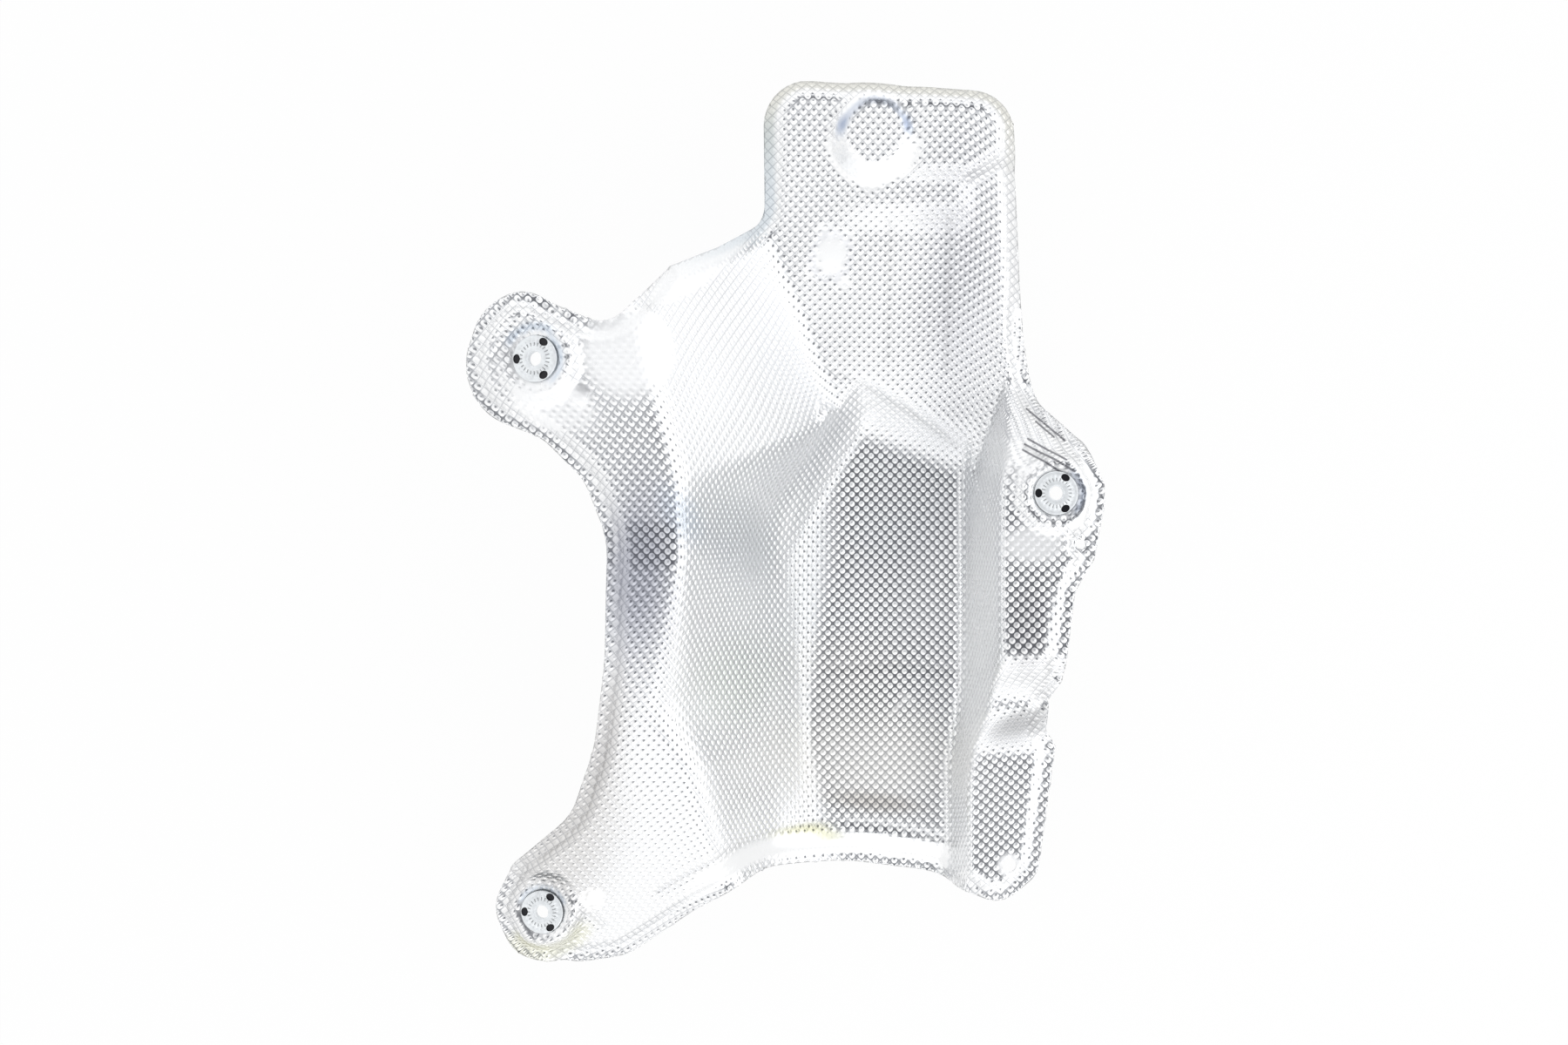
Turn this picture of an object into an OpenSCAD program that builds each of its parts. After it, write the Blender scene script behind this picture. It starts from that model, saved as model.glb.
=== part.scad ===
// Exhaust heat shield: one pressed, embossed aluminium sheet shaped as a trough, with three
// captive steel bolt washers. The trough opens upwards (+Z), its length runs along Y.

/* [Sheet] */
// Sheet thickness in mm
sheet_t = 0.8; // [0.5:0.05:1.5]
// Width of the flat strip along the edge in mm
rim_w = 4.5; // [2:0.1:8]
// Width in plan of the wall between the edge strip and the shield in mm
rim_wall_w = 5; // [3:0.1:9]
// Drop of the edge strip below the shield in mm
rim_drop = 6; // [2:0.1:10]
// Spacing of the sheet's net in mm
net = 5.4; // [5:0.1:12]
// Spacing of the net along the straight trough, as a multiple of the net
long_step = 1.7; // [1:0.1:3]
// Spacing of the net at the tongue's tip, as a multiple of the net
tip_step = 0.8; // [0.75:0.05:1.5]
// Softness of the pressed bends in mm
bend = 7; // [3:0.5:12]
// Softness of the ridges beside the trough in mm
ridge = 14; // [6:0.5:20]
// Softness of the ridge between the tongue and the trough in mm
ridge_tip = 3; // [1:0.5:8]

/* [Trough] */
// X of the floor's left edge at the open lower end in mm
floor_left = 13; // [5:0.5:20]
// How far the floor's left edge runs to the right per mm towards the tongue
floor_lean = 0.19; // [0:0.01:0.3]
// X of the floor's right edge in mm
floor_right = 89; // [75:0.5:100]
// Y where the end wall meets the tongue, at the middle of the floor, in mm
arch_y = 60.8; // [45:0.1:70]
// Length of the arc at the foot of the end wall in mm
end_arc = 28; // [15:1:40]
// Rise of the end wall per mm
arch_slope = 1.3; // [0.8:0.1:3]
// Length of the arc at the foot of the slope between the two left corners in mm
corner_run = 24; // [10:1:36]
// Width of the arc between the floor and the right wall in mm
right_arc = 32; // [16:1:40]
// Rise of the right wall per mm
right_slope = 5.5; // [2.5:0.1:8]
// How far the right wall moves inwards beside the foot in mm
foot_shift = 7; // [0:0.5:10]
// X where the left wall turns steep in mm
left_break_x = -6; // [-15:0.5:5]
// Height where the left wall turns steep in mm
left_break_z = 16.25; // [8:0.25:24]
// Rise of the steep left wall per mm
left_slope = 2.25; // [1:0.05:3]

/* [Decks] */
// Height of the left band at its middle in mm
band_z = 98; // [70:1:115]
// Height of the right flange in mm
flange_z = 56; // [40:1:70]
// Height of the right foot in mm
foot_z = 27; // [15:1:40]
// Height of the tongue at its root in mm
tongue_z = 24; // [10:1:40]
// Rise of the tongue per mm towards its tip
tongue_slope = 0.4; // [0.2:0.01:0.6]
// Rise of the slanted panel per mm towards the band
panel_slope = 1.15; // [0.8:0.01:1.5]
// Height of the raised tongue tip over the tongue in mm
tip_rise = 3; // [1:0.1:6]
// Height of the round boss on the tongue in mm
boss_rise = 5; // [2:0.1:8]
// Radius of the round boss's flat top in mm
boss_r = 12; // [8:0.1:16]
// Width of the slope around the boss in mm
boss_run = 6.5; // [4:0.5:12]

/* [Bolt washers] */
// Outer diameter of a washer in mm
washer_d = 20; // [17:0.1:24]
// Thickness of a washer in mm
washer_t = 1.4; // [1:0.1:2.5]
// Diameter of a washer's bolt hole in mm
bolt_d = 6.5; // [6.2:0.05:7]
// Radius of the hole in the sheet under a washer in mm
seat_hole_r = 7.6; // [7:0.1:8]
// Radius of the flat seat under a washer in mm
seat_r = 14; // [12:0.1:18]
// Width of the slope from a seat to the sheet around it in mm
seat_run = 7; // [5:0.5:12]
// Play between a washer and the sheet in mm
play = 0.3; // [0.15:0.05:0.6]
// Height in mm of the collar that holds a washer in the sheet, below the disc
collar_h = 2.8; // [2.2:0.1:4]
// Width of the folded lug under the sheet in mm
lug_w = 5; // [3:0.1:7]

/* [Tooling holes] */
// Diameter of the hole below the right washer in mm
ear_hole_d = 5; // [3:0.1:7]
// Diameter of the hole in the right foot in mm
foot_hole_d = 7; // [4:0.1:9]

/* [Hidden] */
// Shift that puts the origin at the bottom centre of the whole part
origin_shift = [-5.064, 3.828, rim_drop + sheet_t];

// Outline seen from above, anticlockwise: each corner as [x, y, corner radius]
outline = [
  [-9, 142, 12], [-31, 126, 12], [-51.5, 114, 4], [-62.5, 100, 14], [-76, 85, 14],
  [-98, 94, 14], [-113, 102, 20], [-131, 93, 24], [-140, 68, 24], [-132, 47, 24],
  [-106, 37, 20], [-88, 19, 24], [-78, -8, 40], [-80, -62, 90], [-86, -102, 60],
  [-98, -135, 30], [-127, -160, 14], [-138, -181, 18], [-127, -204, 18], [-98, -210, 20],
  [-74, -206, 30], [-42, -182, 30], [-14, -166, 30], [30, -166, 60], [70, -171, 20],
  [104, -182, 14], [121, -168, 14], [129.5, -106, 5], [124, -98, 4], [124.5, -82, 4],
  [129.5, -73, 4], [134.5, -32, 8], [144, -17, 6], [149.5, 15, 12], [140, 36, 12],
  [121, 56, 14], [114, 88, 40], [108.5, 147, 60], [103.5, 195.5, 20], [-9.5, 203.5, 20]
];

// Washers as [x, y, seat height, tilt about Y, tilt about X]
wash_ul = [-107, 70.5, 114, -14, 0];
wash_r = [125, 13.5, 58, 0, 0];
wash_ll = [-113, -182, 42, -8, 0];
boss_at = [41, 176];

rim_in = rim_w + rim_wall_w;

// Smooth maximum and minimum of two heights, k is the softness
function smax(a, b, k) = let (h = max(k - abs(a - b), 0) / k) max(a, b) + h * h * k / 4;
function smin(a, b, k) = let (h = max(k - abs(a - b), 0) / k) min(a, b) - h * h * k / 4;
function ramp(v, a, b) = let (t = min(1, max(0, (v - a) / (b - a)))) t * t * (3 - 2 * t);

// Higher of two rises, blended, with flat ground where both are zero
function join_up(a, b, k) = smax(a, b, min(k, a + b + 0.1));
// Rounded start of a wall: flat before 0, then an arc, then a straight slope
function bowl(d, run, slope) = d <= 0 ? 0 : d < run ? slope * d * d / (2 * run) : slope * (d - run / 2);
function foot_step(y) = foot_shift * ramp(-y, 70, 130);

// Hollow of the trough: floor, right wall, the two left walls, the end wall and its corner
function hollow(x, y) =
  let (steep = left_slope * (1 - 0.0054 * max(0, -15 - y)),
       start = floor_left + floor_lean * min(125, max(0, y + 111)),
       arc = start - left_break_x,
       low = bowl(start - x, arc, 2 * left_break_z / arc),
       left = left_break_z + max(0.4, steep) * (left_break_x - x),
       foot = x - floor_right + foot_step(y),
       right = smax(bowl(foot + right_arc / 2, right_arc, 2), right_slope * foot, 12),
       end = bowl(y - arch_y + end_arc + 0.37 * (x - 50), end_arc, arch_slope),
       corner = bowl((98 - 1.88 * (x + 42) + 1.142 * (y - 11)) / 2.2 + corner_run / 2, corner_run, 2.2),
       sides = join_up(max(smax(low, left, 10), 0), right, 10))
  join_up(sides, join_up(end, corner, 16), 16);

// Left band, which falls away towards the lower left ear and climbs to the upper left one
function band(y) = let (u = max(0, -20 - y))
  band_z + 0.2 * max(0, y) - 0.15 * u - 0.0013 * u * u;
function panel(x, y) = 98 - panel_slope * (x + 42) - 0.09 * (y - 11);
function flange(y) = flange_z - (flange_z - foot_z) * (0.55 * ramp(-y, 62, 88)
  + 0.45 * ramp(-y, 92, 112)) - 0.9 * max(0, y - 27);
function right_deck(x, y) = smin(flange(y),
  max(right_slope * (x - floor_right + foot_step(y) - 0.25 * max(0, y - 15)),
      min(2 * (arch_y - 10 - 0.53 * (x - 50) - y), 2 * (x - 5))), bend);
function tongue(x, y) = tongue_z + tongue_slope * (y - 72)
  + tip_rise * ramp(y, 140, 145) * ramp(x, 30, 36) * (1 - ramp(x, 84, 88))
  + tip_rise * ramp(y, 156, 163) * (1 - ramp(x, 88, 94)) * ramp(x, 40, 62);
function decks(x, y) = smax(smax(tongue(x, y), smin(band(y), panel(x, y), bend), bend),
  right_deck(x, y), bend);

// Round pads that the sheet runs into: the seats of the washers, which may lean, and the boss
function pad(z, plane, r, r_top, run) = let (k = ramp(r, r_top, r_top + run)) z * k + plane * (1 - k);
function seated(z, w, x, y) = pad(z, w[2] + (x - w[0]) * tan(-w[3]) + (y - w[1]) * tan(w[4]),
  norm([x - w[0], y - w[1]]), seat_r, seat_run);
function bossed(z, x, y) = pad(z, tongue(boss_at[0], boss_at[1]) + boss_rise
  + tongue_slope * (y - boss_at[1]), norm([x - boss_at[0], y - boss_at[1]]), boss_r, boss_run);
function base(x, y) = smin(decks(x, y), hollow(x, y),
  ridge + (ridge_tip - ridge) * ramp(y, 15, 45) * ramp(-x, -100, -80));
function height(x, y) =
  bossed(seated(seated(seated(base(x, y), wash_ul, x, y), wash_r, x, y), wash_ll, x, y), x, y);

// Outline with its corners rounded
function unit(v) = v / norm(v);
function corner_arc(a, b, c) =
  let (p = [b[0], b[1]], u = unit([a[0] - b[0], a[1] - b[1]]),
       v = unit([c[0] - b[0], c[1] - b[1]]),
       half = acos(max(-1, min(1, u * v))) / 2,
       cut = min(b[2] / tan(half), 0.48 * norm([a[0] - b[0], a[1] - b[1]]),
                 0.48 * norm([c[0] - b[0], c[1] - b[1]])),
       r = cut * tan(half), m = p + unit(u + v) * r / sin(half),
       s = p + u * cut - m, e = p + v * cut - m,
       n = max(1, ceil((180 - 2 * half) / 18)))
  [for (i = [0:n]) let (w = unit(s * (1 - i / n) + e * (i / n))) m + w * r];
n_out = len(outline);
edge = [for (i = [0:n_out - 1])
  each corner_arc(outline[(i + n_out - 1) % n_out], outline[i], outline[(i + 1) % n_out])];
n_edge = len(edge);

// Nearest point of the outline and the signed distance to it, positive inside
function near_on(p, a, b) = let (ab = b - a, t = min(1, max(0, (p - a) * ab / (ab * ab))))
  a + ab * t;
function is_in(p, i = 0, c = 0) = i >= n_edge ? c % 2 == 1 :
  let (a = edge[i], b = edge[(i + 1) % n_edge])
  is_in(p, i + 1, ((a[1] > p[1]) != (b[1] > p[1])
    && p[0] < (b[0] - a[0]) * (p[1] - a[1]) / (b[1] - a[1]) + a[0]) ? c + 1 : c);
function nearest(p) =
  let (q = [for (i = [0:n_edge - 1]) near_on(p, edge[i], edge[(i + 1) % n_edge])],
       d = [for (v = q) norm(p - v)], m = min(d), k = [for (i = [0:n_edge - 1]) if (d[i] == m) i])
  q[k[0]];
function depth(p) = let (q = nearest(p)) norm(p - q) * (is_in(p) ? 1 : -1);

// Net of points over the part, with points near the bend line moved onto it
function lines(a, b, step) = let (n = ceil((b - a) / step)) [for (i = [0:n - 1]) a + (b - a) * i / n];
xs = concat(lines(-146, 156, net), [156]);
ys = concat(lines(-216, -150, net), lines(-150, -6, net * long_step), lines(-6, 136, net),
  lines(136, 208, net * tip_step), [208]);
nx = len(xs) - 1; ny = len(ys) - 1;
function onto(p) = let (q = nearest(p), s = is_in(p) ? 1 : -1) q + unit(p - q) * s * rim_in;
function grid_of() = [for (y = ys) [for (x = xs) let (p = [x, y], d = depth(p) - rim_in)
  abs(d) < 0.3 * net ? [onto(p), 0] : [p, d]]];

function before(a, b) = a[0] < b[0] || (a[0] == b[0] && a[1] < b[1]);
function crossing(a, b) = before(a[0], b[0])
  ? [onto(a[0] + (b[0] - a[0]) * a[1] / (a[1] - b[1])), 0]
  : [onto(b[0] + (a[0] - b[0]) * b[1] / (b[1] - a[1])), 0];
function clipped(c) = [for (i = [0:len(c) - 1]) let (a = c[i], b = c[(i + 1) % len(c)])
  each [if (a[1] >= 0) a, if (a[1] * b[1] < 0) crossing(a, b)]];
function cells_of(grid) = [for (j = [0:ny - 1]) for (i = [0:nx - 1])
  let (c = [grid[j][i], grid[j][i + 1], grid[j + 1][i + 1], grid[j + 1][i]],
       top = max([for (v = c) v[1]]))
  if (top > 0) let (h = [for (v = c) height(v[0][0], v[0][1])],
      m = (c[0][0] + c[1][0] + c[2][0] + c[3][0]) / 4, hm = 2 * height(m[0], m[1]),
      k = abs(h[0] + h[2] - hm) <= abs(h[1] + h[3] - hm) ? 0 : 1)
    each [
      let (t = clipped([c[k], c[k + 1], c[k + 2]])) if (len(t) >= 3) t,
      let (t = clipped([c[k], c[k + 2], c[(k + 3) % 4]])) if (len(t) >= 3) t]];
function solid_of(cells) = [for (c = cells) if (max([for (v = c) v[1]]) > 0) c];

// Directed cell sides on the bend line that no other cell shares
function zero_sides_of(cells) = [for (c = cells) for (i = [0:len(c) - 1])
  let (a = c[i], b = c[(i + 1) % len(c)]) if (a[1] == 0 && b[1] == 0) [a[0], b[0]]];
function rim_sides_of(sides) = [for (s = sides)
  if (len([for (o = sides) if (o[0] == s[1] && o[1] == s[0]) 1]) == 0) s];

// Points in space: top and underside of the shield, then the two lines of the edge strip
function normal(p) = let (e = 0.4,
  gx = (height(p[0] + e, p[1]) - height(p[0] - e, p[1])) / (2 * e),
  gy = (height(p[0], p[1] + e) - height(p[0], p[1] - e)) / (2 * e)) unit([-gx, -gy, 1]);
function over(p) = [p[0], p[1], height(p[0], p[1])];
function under(p) = over(p) - normal(p) * sheet_t;
function strip(p, d) = let (q = nearest(p), m = q + unit(p - q) * d)
  [m[0], m[1], height(p[0], p[1]) - rim_drop];
function strip_under(p, d) = strip(p, d) - [0, 0, sheet_t];

function fan(c) = [for (i = [1:len(c) - 2]) [c[0], c[i], c[i + 1]]];
function flip(t) = [t[0], t[2], t[1]];
function deck_faces(cells) = [for (c = cells) let (o = [for (v = c) over(v[0])],
  u = [for (v = c) under(v[0])]) each concat(fan(o), [for (t = fan(u)) flip(t)])];
function quad(a, b, c, d) = [[a, b, c], [a, c, d]];
function rim_faces(sides) = [for (s = sides) let (p = s[0], q = s[1],
  p0 = over(p), q0 = over(q), p1 = strip(p, rim_w), q1 = strip(q, rim_w),
  p2 = strip(p, 0), q2 = strip(q, 0), p0u = under(p), q0u = under(q),
  p1u = strip_under(p, rim_w), q1u = strip_under(q, rim_w),
  p2u = strip_under(p, 0), q2u = strip_under(q, 0))
  each concat(quad(q0, p0, p1, q1), quad(q1, p1, p2, q2), quad(q2, p2, p2u, q2u),
    quad(q1u, q2u, p2u, p1u), quad(q0u, q1u, p1u, p0u))];

module sheet() {
  cells = solid_of(cells_of(grid_of()));
  faces3 = concat(deck_faces(cells), rim_faces(rim_sides_of(zero_sides_of(cells))));
  polyhedron(points = [for (t = faces3) each t],
    faces = [for (i = [0:len(faces3) - 1]) [3 * i, 3 * i + 2, 3 * i + 1]], convexity = 12);
}

// Places something at a washer's seat, with its axis along the seat's normal
module at_seat(w) {
  translate([w[0], w[1], w[2]]) rotate([w[4], w[3], 0]) children();
}

module shield() {
  color("silver") translate(origin_shift) difference() {
    sheet();
    for (w = [wash_ul, wash_r, wash_ll])
      at_seat(w) translate([0, 0, -6]) cylinder(r = seat_hole_r, h = 12, $fn = 48);
    translate([137.5, -10, 30]) cylinder(d = ear_hole_d, h = 40, $fn = 32);
    translate([107, -163, 0]) cylinder(d = foot_hole_d, h = 50, $fn = 32);
  }
}

// Steel washer: a disc over the seat, a collar through the sheet and three lugs below it
module washer(w) {
  color("gainsboro") translate(origin_shift) at_seat(w) difference() {
    union() {
      translate([0, 0, play]) cylinder(d = washer_d, h = washer_t, $fn = 72);
      translate([0, 0, play - collar_h]) cylinder(r = seat_hole_r - play, h = collar_h + 0.1,
        $fn = 60);
      for (a = [0, 120, 240]) rotate(a)
        translate([0, -lug_w / 2, play - collar_h]) cube([seat_hole_r + 1.8, lug_w, 0.7]);
    }
    translate([0, 0, -collar_h - 1]) cylinder(d = bolt_d, h = collar_h + washer_t + 3, $fn = 60);
    for (a = [60, 180, 300]) rotate(a) translate([washer_d / 2 - 0.9, 0, -collar_h - 1])
      cylinder(d = 3, h = collar_h + washer_t + 3, $fn = 32);
  }
}

module washer_upper_left() { washer(wash_ul); }
module washer_right() { washer(wash_r); }
module washer_lower_left() { washer(wash_ll); }

shield();
washer_upper_left();
washer_right();
washer_lower_left();
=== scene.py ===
"""Exhaust heat shield: a dimpled aluminium pressing with three captive steel washers.

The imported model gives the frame. The sheet is rebuilt with its dimples as geometry, on a net
that keeps the dimple pitch on the walls, and each washer is rebuilt with its serrated face.
"""

import enum  # noqa: E402
import logging  # noqa: E402
import math  # noqa: E402
from dataclasses import dataclass, field  # noqa: E402

import bmesh  # noqa: E402
import bpy  # noqa: E402
import numpy as np  # noqa: E402
from mathutils import Matrix, Vector  # noqa: E402


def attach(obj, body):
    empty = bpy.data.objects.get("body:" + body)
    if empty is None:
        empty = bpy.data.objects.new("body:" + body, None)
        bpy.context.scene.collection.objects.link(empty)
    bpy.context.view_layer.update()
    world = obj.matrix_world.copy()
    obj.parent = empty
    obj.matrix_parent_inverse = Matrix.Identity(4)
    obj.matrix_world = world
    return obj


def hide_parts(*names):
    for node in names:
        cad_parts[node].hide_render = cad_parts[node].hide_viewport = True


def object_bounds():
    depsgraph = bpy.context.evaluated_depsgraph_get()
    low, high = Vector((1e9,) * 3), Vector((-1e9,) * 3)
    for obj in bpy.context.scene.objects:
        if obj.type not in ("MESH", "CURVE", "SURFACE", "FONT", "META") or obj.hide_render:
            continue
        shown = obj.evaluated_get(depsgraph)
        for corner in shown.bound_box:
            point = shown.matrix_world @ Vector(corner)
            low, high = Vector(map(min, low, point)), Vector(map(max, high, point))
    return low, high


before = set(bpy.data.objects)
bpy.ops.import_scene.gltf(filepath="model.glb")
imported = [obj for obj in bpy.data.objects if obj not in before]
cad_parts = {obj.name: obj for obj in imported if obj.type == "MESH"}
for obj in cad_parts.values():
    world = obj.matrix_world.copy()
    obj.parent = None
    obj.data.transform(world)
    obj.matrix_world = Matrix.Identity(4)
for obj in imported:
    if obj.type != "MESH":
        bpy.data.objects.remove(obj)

LOG = logging.getLogger("heat_shield")
MM = 0.001
FAR = 1e9
Span = tuple[float, float]
Colour = tuple[float, float, float]
Stops = tuple[tuple[float, Colour], ...]
CAD_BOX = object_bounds()

# Shift from the sheet's own drawing to the frame, in mm, as in the part's source.
ORIGIN_SHIFT = (-5.064, 3.828, 6.8)


class Slot(enum.Enum):
    """Material slots of the record."""

    SHEET = "sheet"
    WASHER = "washer"


def smooth_max(a: np.ndarray, b: np.ndarray, soft: float) -> np.ndarray:
    """Higher of two heights, blended over a soft distance.

    Args:
        a: First height in mm.
        b: Second height in mm.
        soft: Softness of the blend in mm.

    Returns:
        The blended height in mm.
    """
    near = np.maximum(soft - np.abs(a - b), 0) / soft
    return np.maximum(a, b) + near * near * soft / 4


def smooth_min(a: np.ndarray, b: np.ndarray, soft: float) -> np.ndarray:
    """Lower of two heights, blended over a soft distance.

    Args:
        a: First height in mm.
        b: Second height in mm.
        soft: Softness of the blend in mm.

    Returns:
        The blended height in mm.
    """
    near = np.maximum(soft - np.abs(a - b), 0) / soft
    return np.minimum(a, b) - near * near * soft / 4


def ramp(v: np.ndarray, start: float, end: float) -> np.ndarray:
    """Smooth step from 0 at start to 1 at end.

    Args:
        v: Values to step.
        start: Where the step starts.
        end: Where the step ends.

    Returns:
        The step, from 0 to 1.
    """
    t = np.clip((v - start) / (end - start), 0, 1)
    return t * t * (3 - 2 * t)


def join_up(a: np.ndarray, b: np.ndarray, soft: float) -> np.ndarray:
    """Higher of two rises, blended, that leaves ground where both are zero.

    Args:
        a: First rise in mm, not negative.
        b: Second rise in mm, not negative.
        soft: Largest softness of the blend in mm.

    Returns:
        The blended rise in mm.
    """
    return smooth_max(a, b, np.minimum(soft, a + b + 0.1))


def bowl(d: np.ndarray, run: float, slope: float) -> np.ndarray:
    """Rounded start of a wall: flat before 0, then an arc, then a straight slope.

    Args:
        d: Distance past the start of the arc in mm.
        run: Width of the arc in mm.
        slope: Slope of the wall after the arc.

    Returns:
        Heights in mm.
    """
    d = np.maximum(d, 0)
    return np.where(d < run, slope * d * d / (2 * run), slope * (d - run / 2))


def put(name: str, bm: bmesh.types.BMesh) -> bpy.types.Object:
    """Makes a mesh into an object of the scene, and frees the working copy.

    Args:
        name: Name of the object and of its mesh.
        bm: Working copy of the mesh.

    Returns:
        The new object.
    """
    mesh = bpy.data.meshes.new(name)
    bm.to_mesh(mesh)
    bm.free()
    obj = bpy.data.objects.new(name, mesh)
    bpy.context.scene.collection.objects.link(obj)
    return obj


def bake(obj: bpy.types.Object) -> bpy.types.Mesh:
    """Applies an object's modifiers to its mesh.

    Args:
        obj: Object that keeps the finished mesh.

    Returns:
        The finished mesh.
    """
    deps = bpy.context.evaluated_depsgraph_get()
    done = bpy.data.meshes.new_from_object(obj.evaluated_get(deps))
    obj.modifiers.clear()
    obj.data = done
    return done


@dataclass(frozen=True)
class Nodes:
    """Adds nodes to a shader tree. Their inputs are sockets to join or constants."""

    tree: bpy.types.NodeTree

    def feed(self, socket: bpy.types.NodeSocket, value: object) -> None:
        """Joins a socket to another one, or sets its constant.

        Args:
            socket: The input.
            value: An output socket or a constant.
        """
        if isinstance(value, bpy.types.NodeSocket):
            self.tree.links.new(value, socket)
        else:
            socket.default_value = value

    def add(self, kind: str, inputs: dict[str, object] | None = None) -> bpy.types.Node:
        """Adds a node.

        Args:
            kind: Blender's name of the node.
            inputs: Values of its inputs by name.

        Returns:
            The node.
        """
        node = self.tree.nodes.new(kind)
        for name, value in (inputs or {}).items():
            self.feed(node.inputs[name], value)
        return node

    def maths(self, kind: str, *values: object, clamp: bool = False) -> bpy.types.NodeSocket:
        """Adds a step of arithmetic.

        Args:
            kind: Operation of the step.
            values: Its inputs in order.
            clamp: Whether the result is held between 0 and 1.

        Returns:
            The result.
        """
        node = self.tree.nodes.new("ShaderNodeMath")
        node.operation, node.use_clamp = kind, clamp
        for socket, value in zip(node.inputs, values):
            self.feed(socket, value)
        return node.outputs[0]

    def vector(self, kind: str, *values: object) -> bpy.types.Node:
        """Adds a vector step.

        Args:
            kind: Operation of the step.
            values: Its inputs in order.

        Returns:
            The node, because vector steps differ in their outputs.
        """
        node = self.tree.nodes.new("ShaderNodeVectorMath")
        node.operation = kind
        for socket, value in zip(node.inputs, values):
            self.feed(socket, value)
        return node

    def attribute(self, name: str) -> bpy.types.Node:
        """Adds a node that reads one of the mesh's attributes.

        Args:
            name: The attribute's name.

        Returns:
            The node.
        """
        node = self.tree.nodes.new("ShaderNodeAttribute")
        node.attribute_name = name
        return node

    def blend(self, share: object, first: object, second: object,
              kind: str = "MIX") -> bpy.types.NodeSocket:
        """Blends two colours.

        Args:
            share: Share of the second colour.
            first: First colour.
            second: Second colour.
            kind: How they blend.

        Returns:
            The blended colour.
        """
        node = self.tree.nodes.new("ShaderNodeMix")
        node.data_type, node.blend_type = "RGBA", kind
        self.feed(node.inputs["Factor"], share)
        self.feed(node.inputs[6], first)
        self.feed(node.inputs[7], second)
        return node.outputs[2]

    def tones(self, value: bpy.types.NodeSocket, stops: Stops,
              kind: str = "LINEAR") -> bpy.types.NodeSocket:
        """Turns a value into a colour.

        Args:
            value: The value.
            stops: Places and colours of the scale, in order.
            kind: How colours blend between the stops.

        Returns:
            The colour.
        """
        node = self.tree.nodes.new("ShaderNodeValToRGB")
        scale = node.color_ramp
        scale.interpolation = kind
        for end in (0, -1):
            scale.elements[end].position = stops[end][0]
            scale.elements[end].color = (*stops[end][1], 1)
        for place, colour in stops[1:-1]:
            scale.elements.new(place).color = (*colour, 1)
        self.feed(node.inputs[0], value)
        return node.outputs["Color"]


@dataclass(frozen=True)
class Seat:
    """Place of a washer on the sheet, in mm, with its lean about Y in degrees."""

    node: str
    x: float
    y: float
    z: float
    lean: float

    def plane(self, x: np.ndarray, y: np.ndarray) -> np.ndarray:
        """Height of the seat's plane at points in plan."""
        return self.z + (x - self.x) * math.tan(math.radians(-self.lean)) + 0 * y

    def matrix(self) -> Matrix:
        """Placement of a washer drawn at the origin, in mm, in the frame's axes."""
        at = Vector((self.x, self.y, self.z)) + Vector(ORIGIN_SHIFT)
        return Matrix.Translation(at) @ Matrix.Rotation(math.radians(self.lean), 4, "Y")


SEATS = (
    Seat("washer_upper_left", -107, 70.5, 114, -14),
    Seat("washer_right", 125, 13.5, 58, 0),
    Seat("washer_lower_left", -113, -182, 42, -8),
)


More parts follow.
